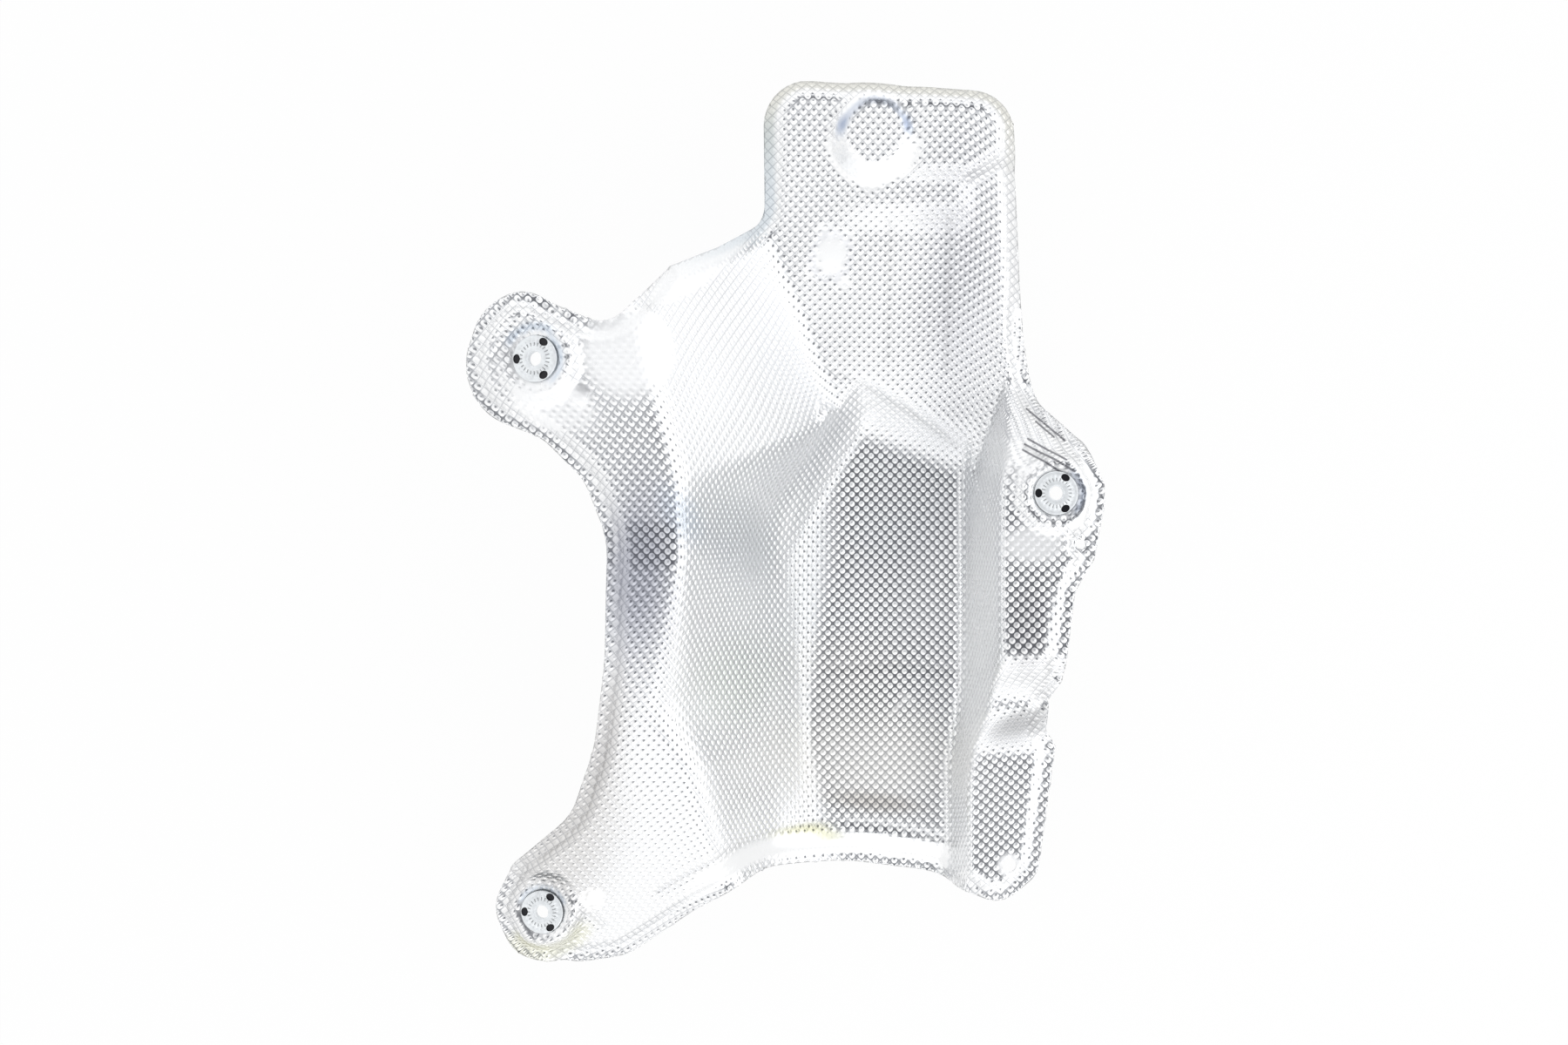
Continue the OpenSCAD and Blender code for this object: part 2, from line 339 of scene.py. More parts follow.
@dataclass(frozen=True)
class Form:
    """Pressed form of the sheet: heights in mm over the drawing's plan.

    A pair of numbers holds where a step starts and where it ends.
    """

    bend: float = 7.0
    ridge: float = 14.0
    ridge_tip: float = 3.0
    ridge_y: tuple[float, float] = (15.0, 45.0)
    ridge_x: tuple[float, float] = (-100.0, -80.0)
    floor_left: float = 13.0
    floor_lean: float = 0.19
    floor_lean_from: float = -111.0
    floor_lean_run: float = 125.0
    foot_shift: float = 7.0
    foot_y: tuple[float, float] = (70.0, 130.0)
    floor_right: float = 89.0
    right_arc: float = 12.0
    right_arc_slope: float = 2.0
    right_arc_soft: float = 9.0
    right_slope: float = 5.5
    arch_y: float = 60.8
    arch_x: float = 50.0
    arch_lean: float = 0.37
    arch_slope: float = 1.3
    end_arc: float = 28.0
    corner_arc: float = 24.0
    corner_slope: float = 2.2
    corner_fall: tuple[float, float] = (1.88, 1.142)
    left_break_x: float = -6.0
    left_break_z: float = 16.25
    left_slope: float = 2.25
    left_slope_least: float = 0.4
    left_ease: float = 0.0054
    left_ease_y: float = -15.0
    side_soft: float = 10.0
    end_soft: float = 16.0
    band_z: float = 98.0
    band_rise: float = 0.2
    band_turn_y: float = -20.0
    band_fall: tuple[float, float] = (0.15, 0.0013)
    flange_z: float = 56.0
    flange_steps: tuple[tuple[float, float, float], ...] = ((0.55, 60.0, 85.0),
                                                            (0.45, 85.0, 112.0))
    flange_end_y: float = 27.0
    flange_end_slope: float = 0.9
    foot_z: float = 27.0
    tongue_y: float = 72.0
    tongue_z: float = 24.0
    tongue_slope: float = 0.4
    panel_at: tuple[float, float, float] = (-42.0, 11.0, 98.0)
    panel_slope: float = 1.15
    panel_fall: float = 0.09
    side_lean: float = 0.25
    side_lean_y: float = 15.0
    guard_slope: float = 2.0
    guard_gap: float = 10.0
    guard_lean: float = 0.53
    guard_x: float = 5.0
    tip_rise: float = 3.0
    tip_splay: float = 16.0
    splay_y: tuple[float, float] = (154.0, 172.0)
    tip_y: tuple[float, float] = (134.0, 148.0)
    tip_x: tuple[float, float] = (18.0, 46.0)
    tip_side: tuple[float, float] = (78.0, 90.0)
    top_y: tuple[float, float] = (156.0, 163.0)
    top_x: tuple[float, float] = (50.0, 66.0)
    top_side: tuple[float, float] = (86.0, 92.0)
    boss_at: tuple[float, float] = (41.0, 176.0)
    boss_rise: float = 4.0
    boss_r: float = 12.0
    boss_run: float = 9.5
    seat_r: float = 14.0
    seat_run: float = 7.0

    def hollow(self, x: np.ndarray, y: np.ndarray) -> np.ndarray:
        """Trough: floor, right wall, two left walls, end wall and the corner between.

        Args:
            x: Across the trough, in mm.
            y: Along the trough, in mm.

        Returns:
            Heights in mm.
        """
        start = self.floor_left + self.floor_lean * np.clip(y - self.floor_lean_from, 0,
                                                            self.floor_lean_run)
        arc = start - self.left_break_x
        low = bowl(start - x, arc, 2 * self.left_break_z / arc)
        steep = self.left_slope * (1 - self.left_ease * np.maximum(0, self.left_ease_y - y))
        steep = np.maximum(self.left_slope_least, steep)
        left = self.left_break_z + steep * (self.left_break_x - x)
        foot = x - self.floor_right + self.foot_shift * ramp(-y, *self.foot_y)
        right = smooth_max(bowl(foot + self.right_arc / 2, self.right_arc, self.right_arc_slope),
                           self.right_slope * foot, self.right_arc_soft)
        end = bowl(y - self.arch_y + self.end_arc + self.arch_lean * (x - self.arch_x),
                   self.end_arc, self.arch_slope)
        panel_x, panel_y, panel_z = self.panel_at
        rise = (panel_z - self.corner_fall[0] * (x - panel_x)
                + self.corner_fall[1] * (y - panel_y))
        corner = bowl(rise / self.corner_slope + self.corner_arc / 2, self.corner_arc,
                      self.corner_slope)
        sides = join_up(np.maximum(smooth_max(low, left, self.side_soft), 0), right,
                        self.side_soft)
        return join_up(sides, join_up(end, corner, self.end_soft), self.end_soft)

    def band(self, y: np.ndarray) -> np.ndarray:
        """Left band, which falls towards the lower left ear.

        Args:
            y: Along the trough, in mm.

        Returns:
            Heights in mm.
        """
        u = np.maximum(0, self.band_turn_y - y)
        fall, curl = self.band_fall
        return self.band_z + self.band_rise * np.maximum(0, y) - fall * u - curl * u * u

    def flange(self, y: np.ndarray) -> np.ndarray:
        """Right flange, which steps down twice to the foot.

        Args:
            y: Along the trough, in mm.

        Returns:
            Heights in mm.
        """
        steps = sum(share * ramp(-y, start, end) for share, start, end in self.flange_steps)
        return (self.flange_z - (self.flange_z - self.foot_z) * steps
                - self.flange_end_slope * np.maximum(0, y - self.flange_end_y))

    def tongue(self, x: np.ndarray, y: np.ndarray) -> np.ndarray:
        """Sloping tongue with its raised tip.

        Args:
            x: Across the trough, in mm.
            y: Along the trough, in mm.

        Returns:
            Heights in mm.
        """
        side = x - self.tip_splay * ramp(y, *self.splay_y)
        tip = ramp(y, *self.tip_y) * ramp(x, *self.tip_x) * (1 - ramp(side, *self.tip_side))
        top = ramp(y, *self.top_y) * (1 - ramp(side, *self.top_side)) * ramp(x, *self.top_x)
        return (self.tongue_z + self.tongue_slope * (y - self.tongue_y)
                + self.tip_rise * (tip + top))

    def decks(self, x: np.ndarray, y: np.ndarray) -> np.ndarray:
        """Tongue, left band with its slanted panel, and right flange.

        Args:
            x: Across the trough, in mm.
            y: Along the trough, in mm.

        Returns:
            Heights in mm.
        """
        panel_x, panel_y, panel_z = self.panel_at
        panel = panel_z - self.panel_slope * (x - panel_x) - self.panel_fall * (y - panel_y)
        left = smooth_min(self.band(y), panel, self.bend)
        side = self.right_slope * (x - self.floor_right
                                   - self.side_lean * np.maximum(0, y - self.side_lean_y)
                                   + self.foot_shift * ramp(-y, *self.foot_y))
        past_arch = (self.arch_y - self.guard_gap - self.guard_lean * (x - self.arch_x) - y)
        guard = np.minimum(self.guard_slope * past_arch, self.guard_slope * (x - self.guard_x))
        right = smooth_min(self.flange(y), np.maximum(side, guard), self.bend)
        return smooth_max(smooth_max(self.tongue(x, y), left, self.bend), right, self.bend)

    def height(self, x: np.ndarray, y: np.ndarray) -> np.ndarray:
        """Height of the sheet's upper side, without its edge strip.

        Args:
            x: Across the trough, in mm.
            y: Along the trough, in mm.

        Returns:
            Heights in mm.
        """
        near_tip = ramp(y, *self.ridge_y) * ramp(-x, *self.ridge_x)
        soft = self.ridge + (self.ridge_tip - self.ridge) * near_tip
        z = smooth_min(self.decks(x, y), self.hollow(x, y), soft)
        for seat in SEATS:
            k = ramp(np.hypot(x - seat.x, y - seat.y), self.seat_r, self.seat_r + self.seat_run)
            z = z * k + seat.plane(x, y) * (1 - k)
        bx, by = self.boss_at
        top = (self.tongue(np.float64(bx), np.float64(by)) + self.boss_rise
               + self.tongue_slope * (y - by))
        k = ramp(np.hypot(x - bx, y - by), self.boss_r, self.boss_r + self.boss_run)
        return z * k + top * (1 - k)


@dataclass(frozen=True)
class Patch:
    """Soft patch of the sheet: an oval, or part of an oval ring, in mm and degrees."""

    x: float
    y: float
    r_out: float
    strength: float
    r_in: float = -30.0
    middle: float = 0.0
    half: float = 192.0
    soft: float = 1.0
    stretch: float = 1.0
    turn: float = 0.0
    half_soft: float = 12.0

    def mask(self, p: np.ndarray) -> np.ndarray:
        """Share of the patch at points in plan. An inner radius under 0 fills the oval.

        Args:
            p: Points in plan, one row each, in mm.

        Returns:
            Shares from 0 to the patch's strength.
        """
        c, s = math.cos(math.radians(self.turn)), math.sin(math.radians(self.turn))
        dx, dy = p[:, 0] - self.x, p[:, 1] - self.y
        u, v = (dx * c + dy * s) / self.stretch, dy * c - dx * s
        r = np.hypot(u, v)
        swing = np.abs((np.degrees(np.arctan2(v, u)) - self.middle + 180) % 360 - 180)
        return (self.strength * ramp(r, self.r_in - self.soft, self.r_in + self.soft)
                * (1 - ramp(r, self.r_out - self.soft, self.r_out + self.soft))
                * (1 - ramp(swing, self.half - self.half_soft, self.half + self.half_soft)))


@dataclass(frozen=True)
class ShadeAndStain(Patch):
    """Patch that multiplies the sheet's colour by a shade, for painted shade, painted light and
    heat stains.
    """

    shade: Colour = (1.0, 1.0, 1.0)


# Painted shade colours, where the sheet turns away from the light: blue-grey and pale blue. Heat
# yellow is the sheet's heat tint.
SHADE_BLUE_GREY = (0.52, 0.58, 0.7)
SHADE_PALE_BLUE = (0.68, 0.75, 0.84)
HEAT_YELLOW = (0.82, 0.81, 0.6)
WARM_GREY = (0.48, 0.44, 0.4)

# Patches that multiply the sheet's colour. Most are painted shade where the sheet turns away from
# the light, one is painted light on the right wall, and the yellow ones are heat stains.
SHADES_AND_STAINS = (
    # Painted shade: blue-grey arcs on the boss's skirt, and pale blue and blue-grey arcs round the
    # washers' seats.
    ShadeAndStain(41, 176, 16.0, 0.6, r_in=12.6, middle=90, half=82, shade=SHADE_BLUE_GREY),
    ShadeAndStain(41, 176, 17.6, 0.9, r_in=13.6, middle=14, half=14, shade=SHADE_BLUE_GREY),
    ShadeAndStain(41, 176, 17.6, 0.9, r_in=13.6, middle=166, half=14, shade=SHADE_BLUE_GREY),
    ShadeAndStain(-107, 70.5, 15.5, 0.9, r_in=12.3, middle=105, half=48, shade=SHADE_PALE_BLUE),
    ShadeAndStain(-107, 70.5, 12.6, 0.8, r_in=10.2, middle=0, half=60, shade=SHADE_PALE_BLUE),
    ShadeAndStain(125, 13.5, 13.6, 0.75, r_in=10.8, middle=5, half=52, shade=SHADE_BLUE_GREY),
    ShadeAndStain(-113, -182, 12.4, 0.9, r_in=10.4, middle=90, half=70, shade=SHADE_PALE_BLUE),
    ShadeAndStain(-113, -182, 25.0, 0.5, r_in=16.0, middle=-80, half=60, soft=3.0, shade=HEAT_YELLOW),
    ShadeAndStain(8, -149, 2.2, 1.0, soft=2.0, stretch=5.0, turn=4, shade=HEAT_YELLOW),
    ShadeAndStain(20, -152, 3.0, 0.8, soft=2.4, stretch=2.6, turn=-12, shade=HEAT_YELLOW),
    ShadeAndStain(45, -137, 4.5, 0.55, soft=3.0, stretch=4.6, turn=-6, shade=WARM_GREY),
    ShadeAndStain(32, -70, 16.0, 0.25, soft=12.0, stretch=1.6, shade=(0.86, 0.81, 0.74)),
    ShadeAndStain(38, -112, 26.0, 0.9, soft=14.0, stretch=1.6, shade=(1.0, 0.985, 0.95)),
    # Painted shade: darker patches on the left walls, the band, the low left arc and the trough's
    # upper floor.
    ShadeAndStain(-22, -75, 16.0, 0.6, soft=12.0, stretch=1.2, turn=70, shade=(0.86, 0.9, 0.85)),
    ShadeAndStain(-64, -22, 15.0, 0.8, soft=11.0, stretch=2.5, turn=86, shade=(0.42, 0.43, 0.5)),
    ShadeAndStain(8, -60, 9.0, 0.4, soft=7.0, stretch=7.0, turn=86, shade=(0.8, 0.82, 0.82)),
    ShadeAndStain(58, 8, 24.0, 0.45, soft=14.0, stretch=1.6, turn=60, shade=(0.74, 0.75, 0.77)),
    ShadeAndStain(-46, 4, 7.0, 0.6, soft=5.0, stretch=1.8, turn=-60, shade=SHADE_PALE_BLUE),
    ShadeAndStain(-22, -6, 14.0, 0.6, soft=9.0, stretch=1.5, turn=-50, shade=(0.82, 0.84, 0.85)),
    # Painted light: the right wall made brighter than the sheet's own colour.
    ShadeAndStain(90, -60, 7.0, 1.0, soft=4.0, stretch=13.0, turn=87, shade=(1.08, 1.08, 1.08)),
    # Painted shade: darker patches on the tongue's right side, the band's lower edge, the lower
    # left ear, the flange and its second step.
    ShadeAndStain(82, 110, 18.0, 0.62, soft=14.0, stretch=3.0, turn=90, shade=(0.64, 0.64, 0.67)),
    ShadeAndStain(-80, -96, 9.0, 0.6, soft=7.0, stretch=3.2, turn=80, shade=(0.64, 0.62, 0.61)),
    ShadeAndStain(-100, -148, 20.0, 0.65, soft=15.0, stretch=1.9, turn=64, shade=(0.64, 0.62, 0.6)),
    ShadeAndStain(112, -48, 9.0, 0.7, soft=5.0, stretch=2.2, turn=90, shade=(0.62, 0.61, 0.62)),
    ShadeAndStain(113, -93, 6.0, 0.75, soft=3.5, stretch=2.4, turn=24, shade=(0.55, 0.55, 0.55)),
    ShadeAndStain(108, -99, 8.0, 0.6, soft=4.0, stretch=1.6, turn=24, shade=(0.72, 0.72, 0.73)),
    # Painted shade in a ring round the coined pad.
    ShadeAndStain(22, 124, 12.5, 0.35, r_in=8.5, stretch=0.85, turn=-15, shade=(0.74, 0.75, 0.8)),
)

# Painted glare: patches where light is painted in, the sheet made less metallic and paler there.
GLARE_PATCHES = (
    Patch(-68, 74, 21.0, 1.0, soft=8.0),
    Patch(-100, 52, 13.0, 0.8, soft=6.0, stretch=1.6, turn=-20),
    Patch(107, -163, 5.4, 1.0, soft=0.8),
    Patch(93, -50, 6.0, 0.5, soft=3.0, stretch=13.0, turn=87),
    Patch(-38, 116, 9.0, 0.9, soft=4.0, stretch=3.4, turn=46),
    Patch(115, -10, 9.0, 0.78, soft=5.0, stretch=1.8),
    Patch(110, 30, 14.0, 0.6, soft=8.0),
    Patch(45, -118, 20.0, 0.48, soft=16.0, stretch=2.0),
    Patch(55, -91, 1.6, 0.64, soft=1.4, stretch=5.0, turn=45),
    Patch(60, -86, 1.2, 0.6, soft=1.2, stretch=3.5, turn=-40),
    Patch(-122, 68, 12.0, 0.45, soft=6.0),
)

# Patches where the dimples are pressed flat, beside the pad and the washers' seats.
IRONED = (
    Patch(41, 176, 17.0, 0.85, r_in=13.0, middle=90, half=86),
    Patch(41, 176, 22.0, 0.85, r_in=13.0, middle=-90, half=78),
    Patch(40, 157, 6.0, 0.85),
    Patch(125, 13.5, 18.0, 0.85, r_in=13.0, middle=-10, half=50),
    Patch(27.6, 112, 3.4, 0.85),
    Patch(-88.5, 55, 5.0, 0.85),
    Patch(-89.5, -176, 5.0, 0.85),
)


@dataclass(frozen=True)
class Crease:
    """Groove pressed or bent into the sheet along a line in plan, in mm, with painted shade along
    it.
    """

    line: tuple[tuple[float, float], ...]
    depth: float
    width: float
    # Painted shade: share of darkening in the groove's colour at its deepest.
    shade: float = 0.12

    def sink(self, p: np.ndarray) -> np.ndarray:
        """Depth of the groove at points.

        Args:
            p: Points in plan, one row each, in mm.

        Returns:
            Depths in mm.
        """
        near = np.full(len(p), FAR)
        for start, end in zip(self.line, self.line[1:]):
            a, d = np.array(start), np.array(end) - np.array(start)
            t = np.clip((p - a) @ d / (d @ d), 0, 1)
            near = np.minimum(near, np.hypot(*(p - a - t[:, None] * d).T))
        return self.depth * np.exp(-(near / self.width) ** 2)


CREASES = (
    Crease(((111.5, 35.5), (131, 22.5)), 0.6, 1.5, 0.2),
    Crease(((115, 54), (131, 38)), 0.6, 1.4, 0.2),
    Crease(((22, -72), (54, -70), (84, -73)), 0.22, 2.2),
    Crease(((14, 76), (34, 68), (60, 53), (84, 37)), 0.3, 1.3),
    Crease(((49, 80), (49, 138)), 0.2, 1.8),
    Crease(((77, 74), (76, 140)), 0.25, 1.8),
    Crease(((-59, -172), (-38, -160), (-21, -151), (17, -146), (50, -149), (82, -156)), 0.8, 2.0),
    Crease(((125, -24), (121.5, -98)), 0.55, 1.7),
    Crease(((-101, -190), (-92, -184), (-86, -190)), 0.7, 1.5),
)


@dataclass(frozen=True)
class Outline:
    """Edge of the sheet in plan: corners as (x, y, corner radius) in mm, anticlockwise."""

    corners: tuple[tuple[float, float, float], ...] = (
        (-9, 142, 12), (-31, 126, 12), (-51.5, 114, 4), (-62.5, 100, 14), (-76, 85, 14),
        (-98, 94, 14), (-113, 102, 20), (-131, 93, 24), (-140, 68, 24), (-132, 47, 24),
        (-106, 37, 20), (-88, 19, 24), (-78, -8, 40), (-80, -62, 90), (-86, -102, 60),
        (-98, -135, 30), (-127, -160, 14), (-138, -181, 18), (-127, -204, 18), (-98, -210, 20),
        (-74, -206, 30), (-42, -182, 30), (-14, -166, 30), (30, -166, 60), (70, -171, 20),
        (104, -182, 14), (121, -168, 14), (129.5, -106, 5), (124, -98, 4), (124.5, -82, 4),
        (129.5, -73, 4), (134.5, -32, 8), (144, -17, 6), (149.5, 15, 12), (140, 36, 12),
        (121, 56, 14), (114, 88, 40), (108.5, 147, 60), (103.5, 195.5, 20), (-9.5, 203.5, 20),
    )
    arc_step: float = 9.0
    cut_most: float = 0.48

    def points(self) -> np.ndarray:
        """Outline with its corners rounded by arcs.

        Returns:
            Points in mm, one row each.
        """
        pts = np.array(self.corners, float)
        out: list[np.ndarray] = []
        for i in range(len(pts)):
            a, b, c = pts[i - 1, :2], pts[i, :2], pts[(i + 1) % len(pts), :2]
            u = (a - b) / np.linalg.norm(a - b)
            v = (c - b) / np.linalg.norm(c - b)
            half = math.acos(float(np.clip(u @ v, -1, 1))) / 2
            cut = min(pts[i, 2] / math.tan(half), self.cut_most * np.linalg.norm(a - b),
                      self.cut_most * np.linalg.norm(c - b))
            radius = cut * math.tan(half)
            mid = b + (u + v) / np.linalg.norm(u + v) * radius / math.sin(half)
            start, end = b + u * cut - mid, b + v * cut - mid
            steps = max(1, math.ceil(math.degrees(math.pi - 2 * half) / self.arc_step))
            for k in range(steps + 1):
                w = start * (1 - k / steps) + end * (k / steps)
                out.append(mid + w / np.linalg.norm(w) * radius)
        return np.array(out)

    def nearest(self, p: np.ndarray) -> tuple[np.ndarray, np.ndarray]:
        """Nearest points of the outline and signed depths inside it.

        Args:
            p: Points in plan, one row each, in mm.

        Returns:
            The nearest points, and depths that are positive inside.
        """
        a = self.points()
        b = np.roll(a, -1, axis=0)
        best = np.full(len(p), FAR)
        foot = np.zeros_like(p)
        inside = np.zeros(len(p), bool)
        for s, e in zip(a, b):
            d = e - s
            t = np.clip((p - s) @ d / max(d @ d, 1e-12), 0, 1)
            q = s + t[:, None] * d
            dist = np.hypot(*(p - q).T)
            closer = dist < best
            best[closer], foot[closer] = dist[closer], q[closer]
            if s[1] != e[1]:
                cross = (s[1] > p[:, 1]) != (e[1] > p[:, 1])
                inside ^= cross & (p[:, 0] < d[0] * (p[:, 1] - s[1]) / d[1] + s[0])
        return foot, np.where(inside, best, -best)


@dataclass
class Lattice:
    """Dimple net that keeps its pitch along the surface, laid diagonally over the plan."""

    form: Form
    pitch: float = 3.31
    reach: int = 106
    turn: float = 45.0
    start: tuple[float, float] = (52.0, -40.0)
    settle_rounds: int = 60
    settle_gain: float = 0.6
    relax_rounds: int = 60
    relax_gain: float = 0.16
    diagonal_stiffness: float = 0.5
    plan_lo: tuple[float, float] = (-190.0, -260.0)
    plan_hi: tuple[float, float] = (200.0, 250.0)

    def _grids(self) -> tuple[np.ndarray, ...]:
        """Measures the surface on a 1 mm plan grid.

        Returns:
            Height, both slopes, and both lengths along the surface from the start.
        """
        xs = np.arange(self.plan_lo[0], self.plan_hi[0] + 1)
        ys = np.arange(self.plan_lo[1], self.plan_hi[1] + 1)
        gx, gy = np.meshgrid(xs, ys)
        z = self.form.height(gx, gy)
        zx, zy = np.gradient(z, axis=1), np.gradient(z, axis=0)
        along = np.cumsum(np.sqrt(1 + zx * zx), axis=1)
        upward = np.cumsum(np.sqrt(1 + zy * zy), axis=0)
        ix = int(self.start[0] - self.plan_lo[0])
        iy = int(self.start[1] - self.plan_lo[1])
        return z, zx, zy, along - along[:, ix:ix + 1], upward - upward[iy:iy + 1, :]

    def _sample(self, grid: np.ndarray, p: np.ndarray) -> np.ndarray:
        """Bilinear values of a plan grid at points.

        Args:
            grid: Values on the plan grid.
            p: Points in plan, in mm.

        Returns:
            One value per point.
        """
        fx = np.clip(p[..., 0] - self.plan_lo[0], 0, grid.shape[1] - 1.001)
        fy = np.clip(p[..., 1] - self.plan_lo[1], 0, grid.shape[0] - 1.001)
        ix, iy = fx.astype(int), fy.astype(int)
        u, v = fx - ix, fy - iy
        low = grid[iy, ix] * (1 - u) + grid[iy, ix + 1] * u
        high = grid[iy + 1, ix] * (1 - u) + grid[iy + 1, ix + 1] * u
        return low * (1 - v) + high * v

    def nodes(self) -> np.ndarray:
        """Plan places of the net's nodes, one per dimple corner.

        Returns:
            An array of (2 reach + 1) squared places in mm.
        """
        z, zx, zy, along, upward = self._grids()
        k = np.arange(-self.reach, self.reach + 1) * self.pitch
        a, b = np.meshgrid(k, k, indexing="ij")
        c, s = math.cos(math.radians(self.turn)), math.sin(math.radians(self.turn))
        want_x, want_y = a * c - b * s, a * s + b * c
        p = np.stack([want_x + self.start[0], want_y + self.start[1]], -1)
        for _ in range(self.settle_rounds):
            ex = want_x - self._sample(along, p)
            ey = want_y - self._sample(upward, p)
            gx, gy = self._sample(zx, p), self._sample(zy, p)
            p[..., 0] += self.settle_gain * ex / np.sqrt(1 + gx * gx)
            p[..., 1] += self.settle_gain * ey / np.sqrt(1 + gy * gy)
        return self._relax(p, z, zx, zy)

    def _relax(self, p: np.ndarray, z: np.ndarray, zx: np.ndarray,
               zy: np.ndarray) -> np.ndarray:
        """Moves nodes until neighbours are one pitch apart on the surface.

        Args:
            p: Plan places of the nodes, which are moved.
            z: Heights on the plan grid.
            zx: Slopes across on the plan grid.
            zy: Slopes along on the plan grid.

        Returns:
            The moved places.
        """
        every, early, late = slice(None), slice(0, -1), slice(1, None)
        diagonal = self.diagonal_stiffness
        springs = (((early, every), (late, every), 1.0, 1.0),
                   ((every, early), (every, late), 1.0, 1.0),
                   ((early, early), (late, late), 2 ** 0.5, diagonal),
                   ((early, late), (late, early), 2 ** 0.5, diagonal))
        for _ in range(self.relax_rounds):
            q = np.concatenate([p, self._sample(z, p)[..., None]], -1)
            force = np.zeros_like(q)
            for near, far, rest, stiff in springs:
                d = q[far] - q[near]
                n = np.linalg.norm(d, axis=-1, keepdims=True)
                pull = stiff * (1 - rest * self.pitch / np.maximum(n, 1e-6)) * d
                force[near] += pull
                force[far] -= pull
            gx, gy = self._sample(zx, p), self._sample(zy, p)
            fx, fy = force[..., 0] + gx * force[..., 2], force[..., 1] + gy * force[..., 2]
            gain = self.relax_gain / (1 + gx * gx + gy * gy)
            p[..., 0] += gain * (fx * (1 + gy * gy) - fy * gx * gy)
            p[..., 1] += gain * (fy * (1 + gx * gx) - fx * gx * gy)
        return p


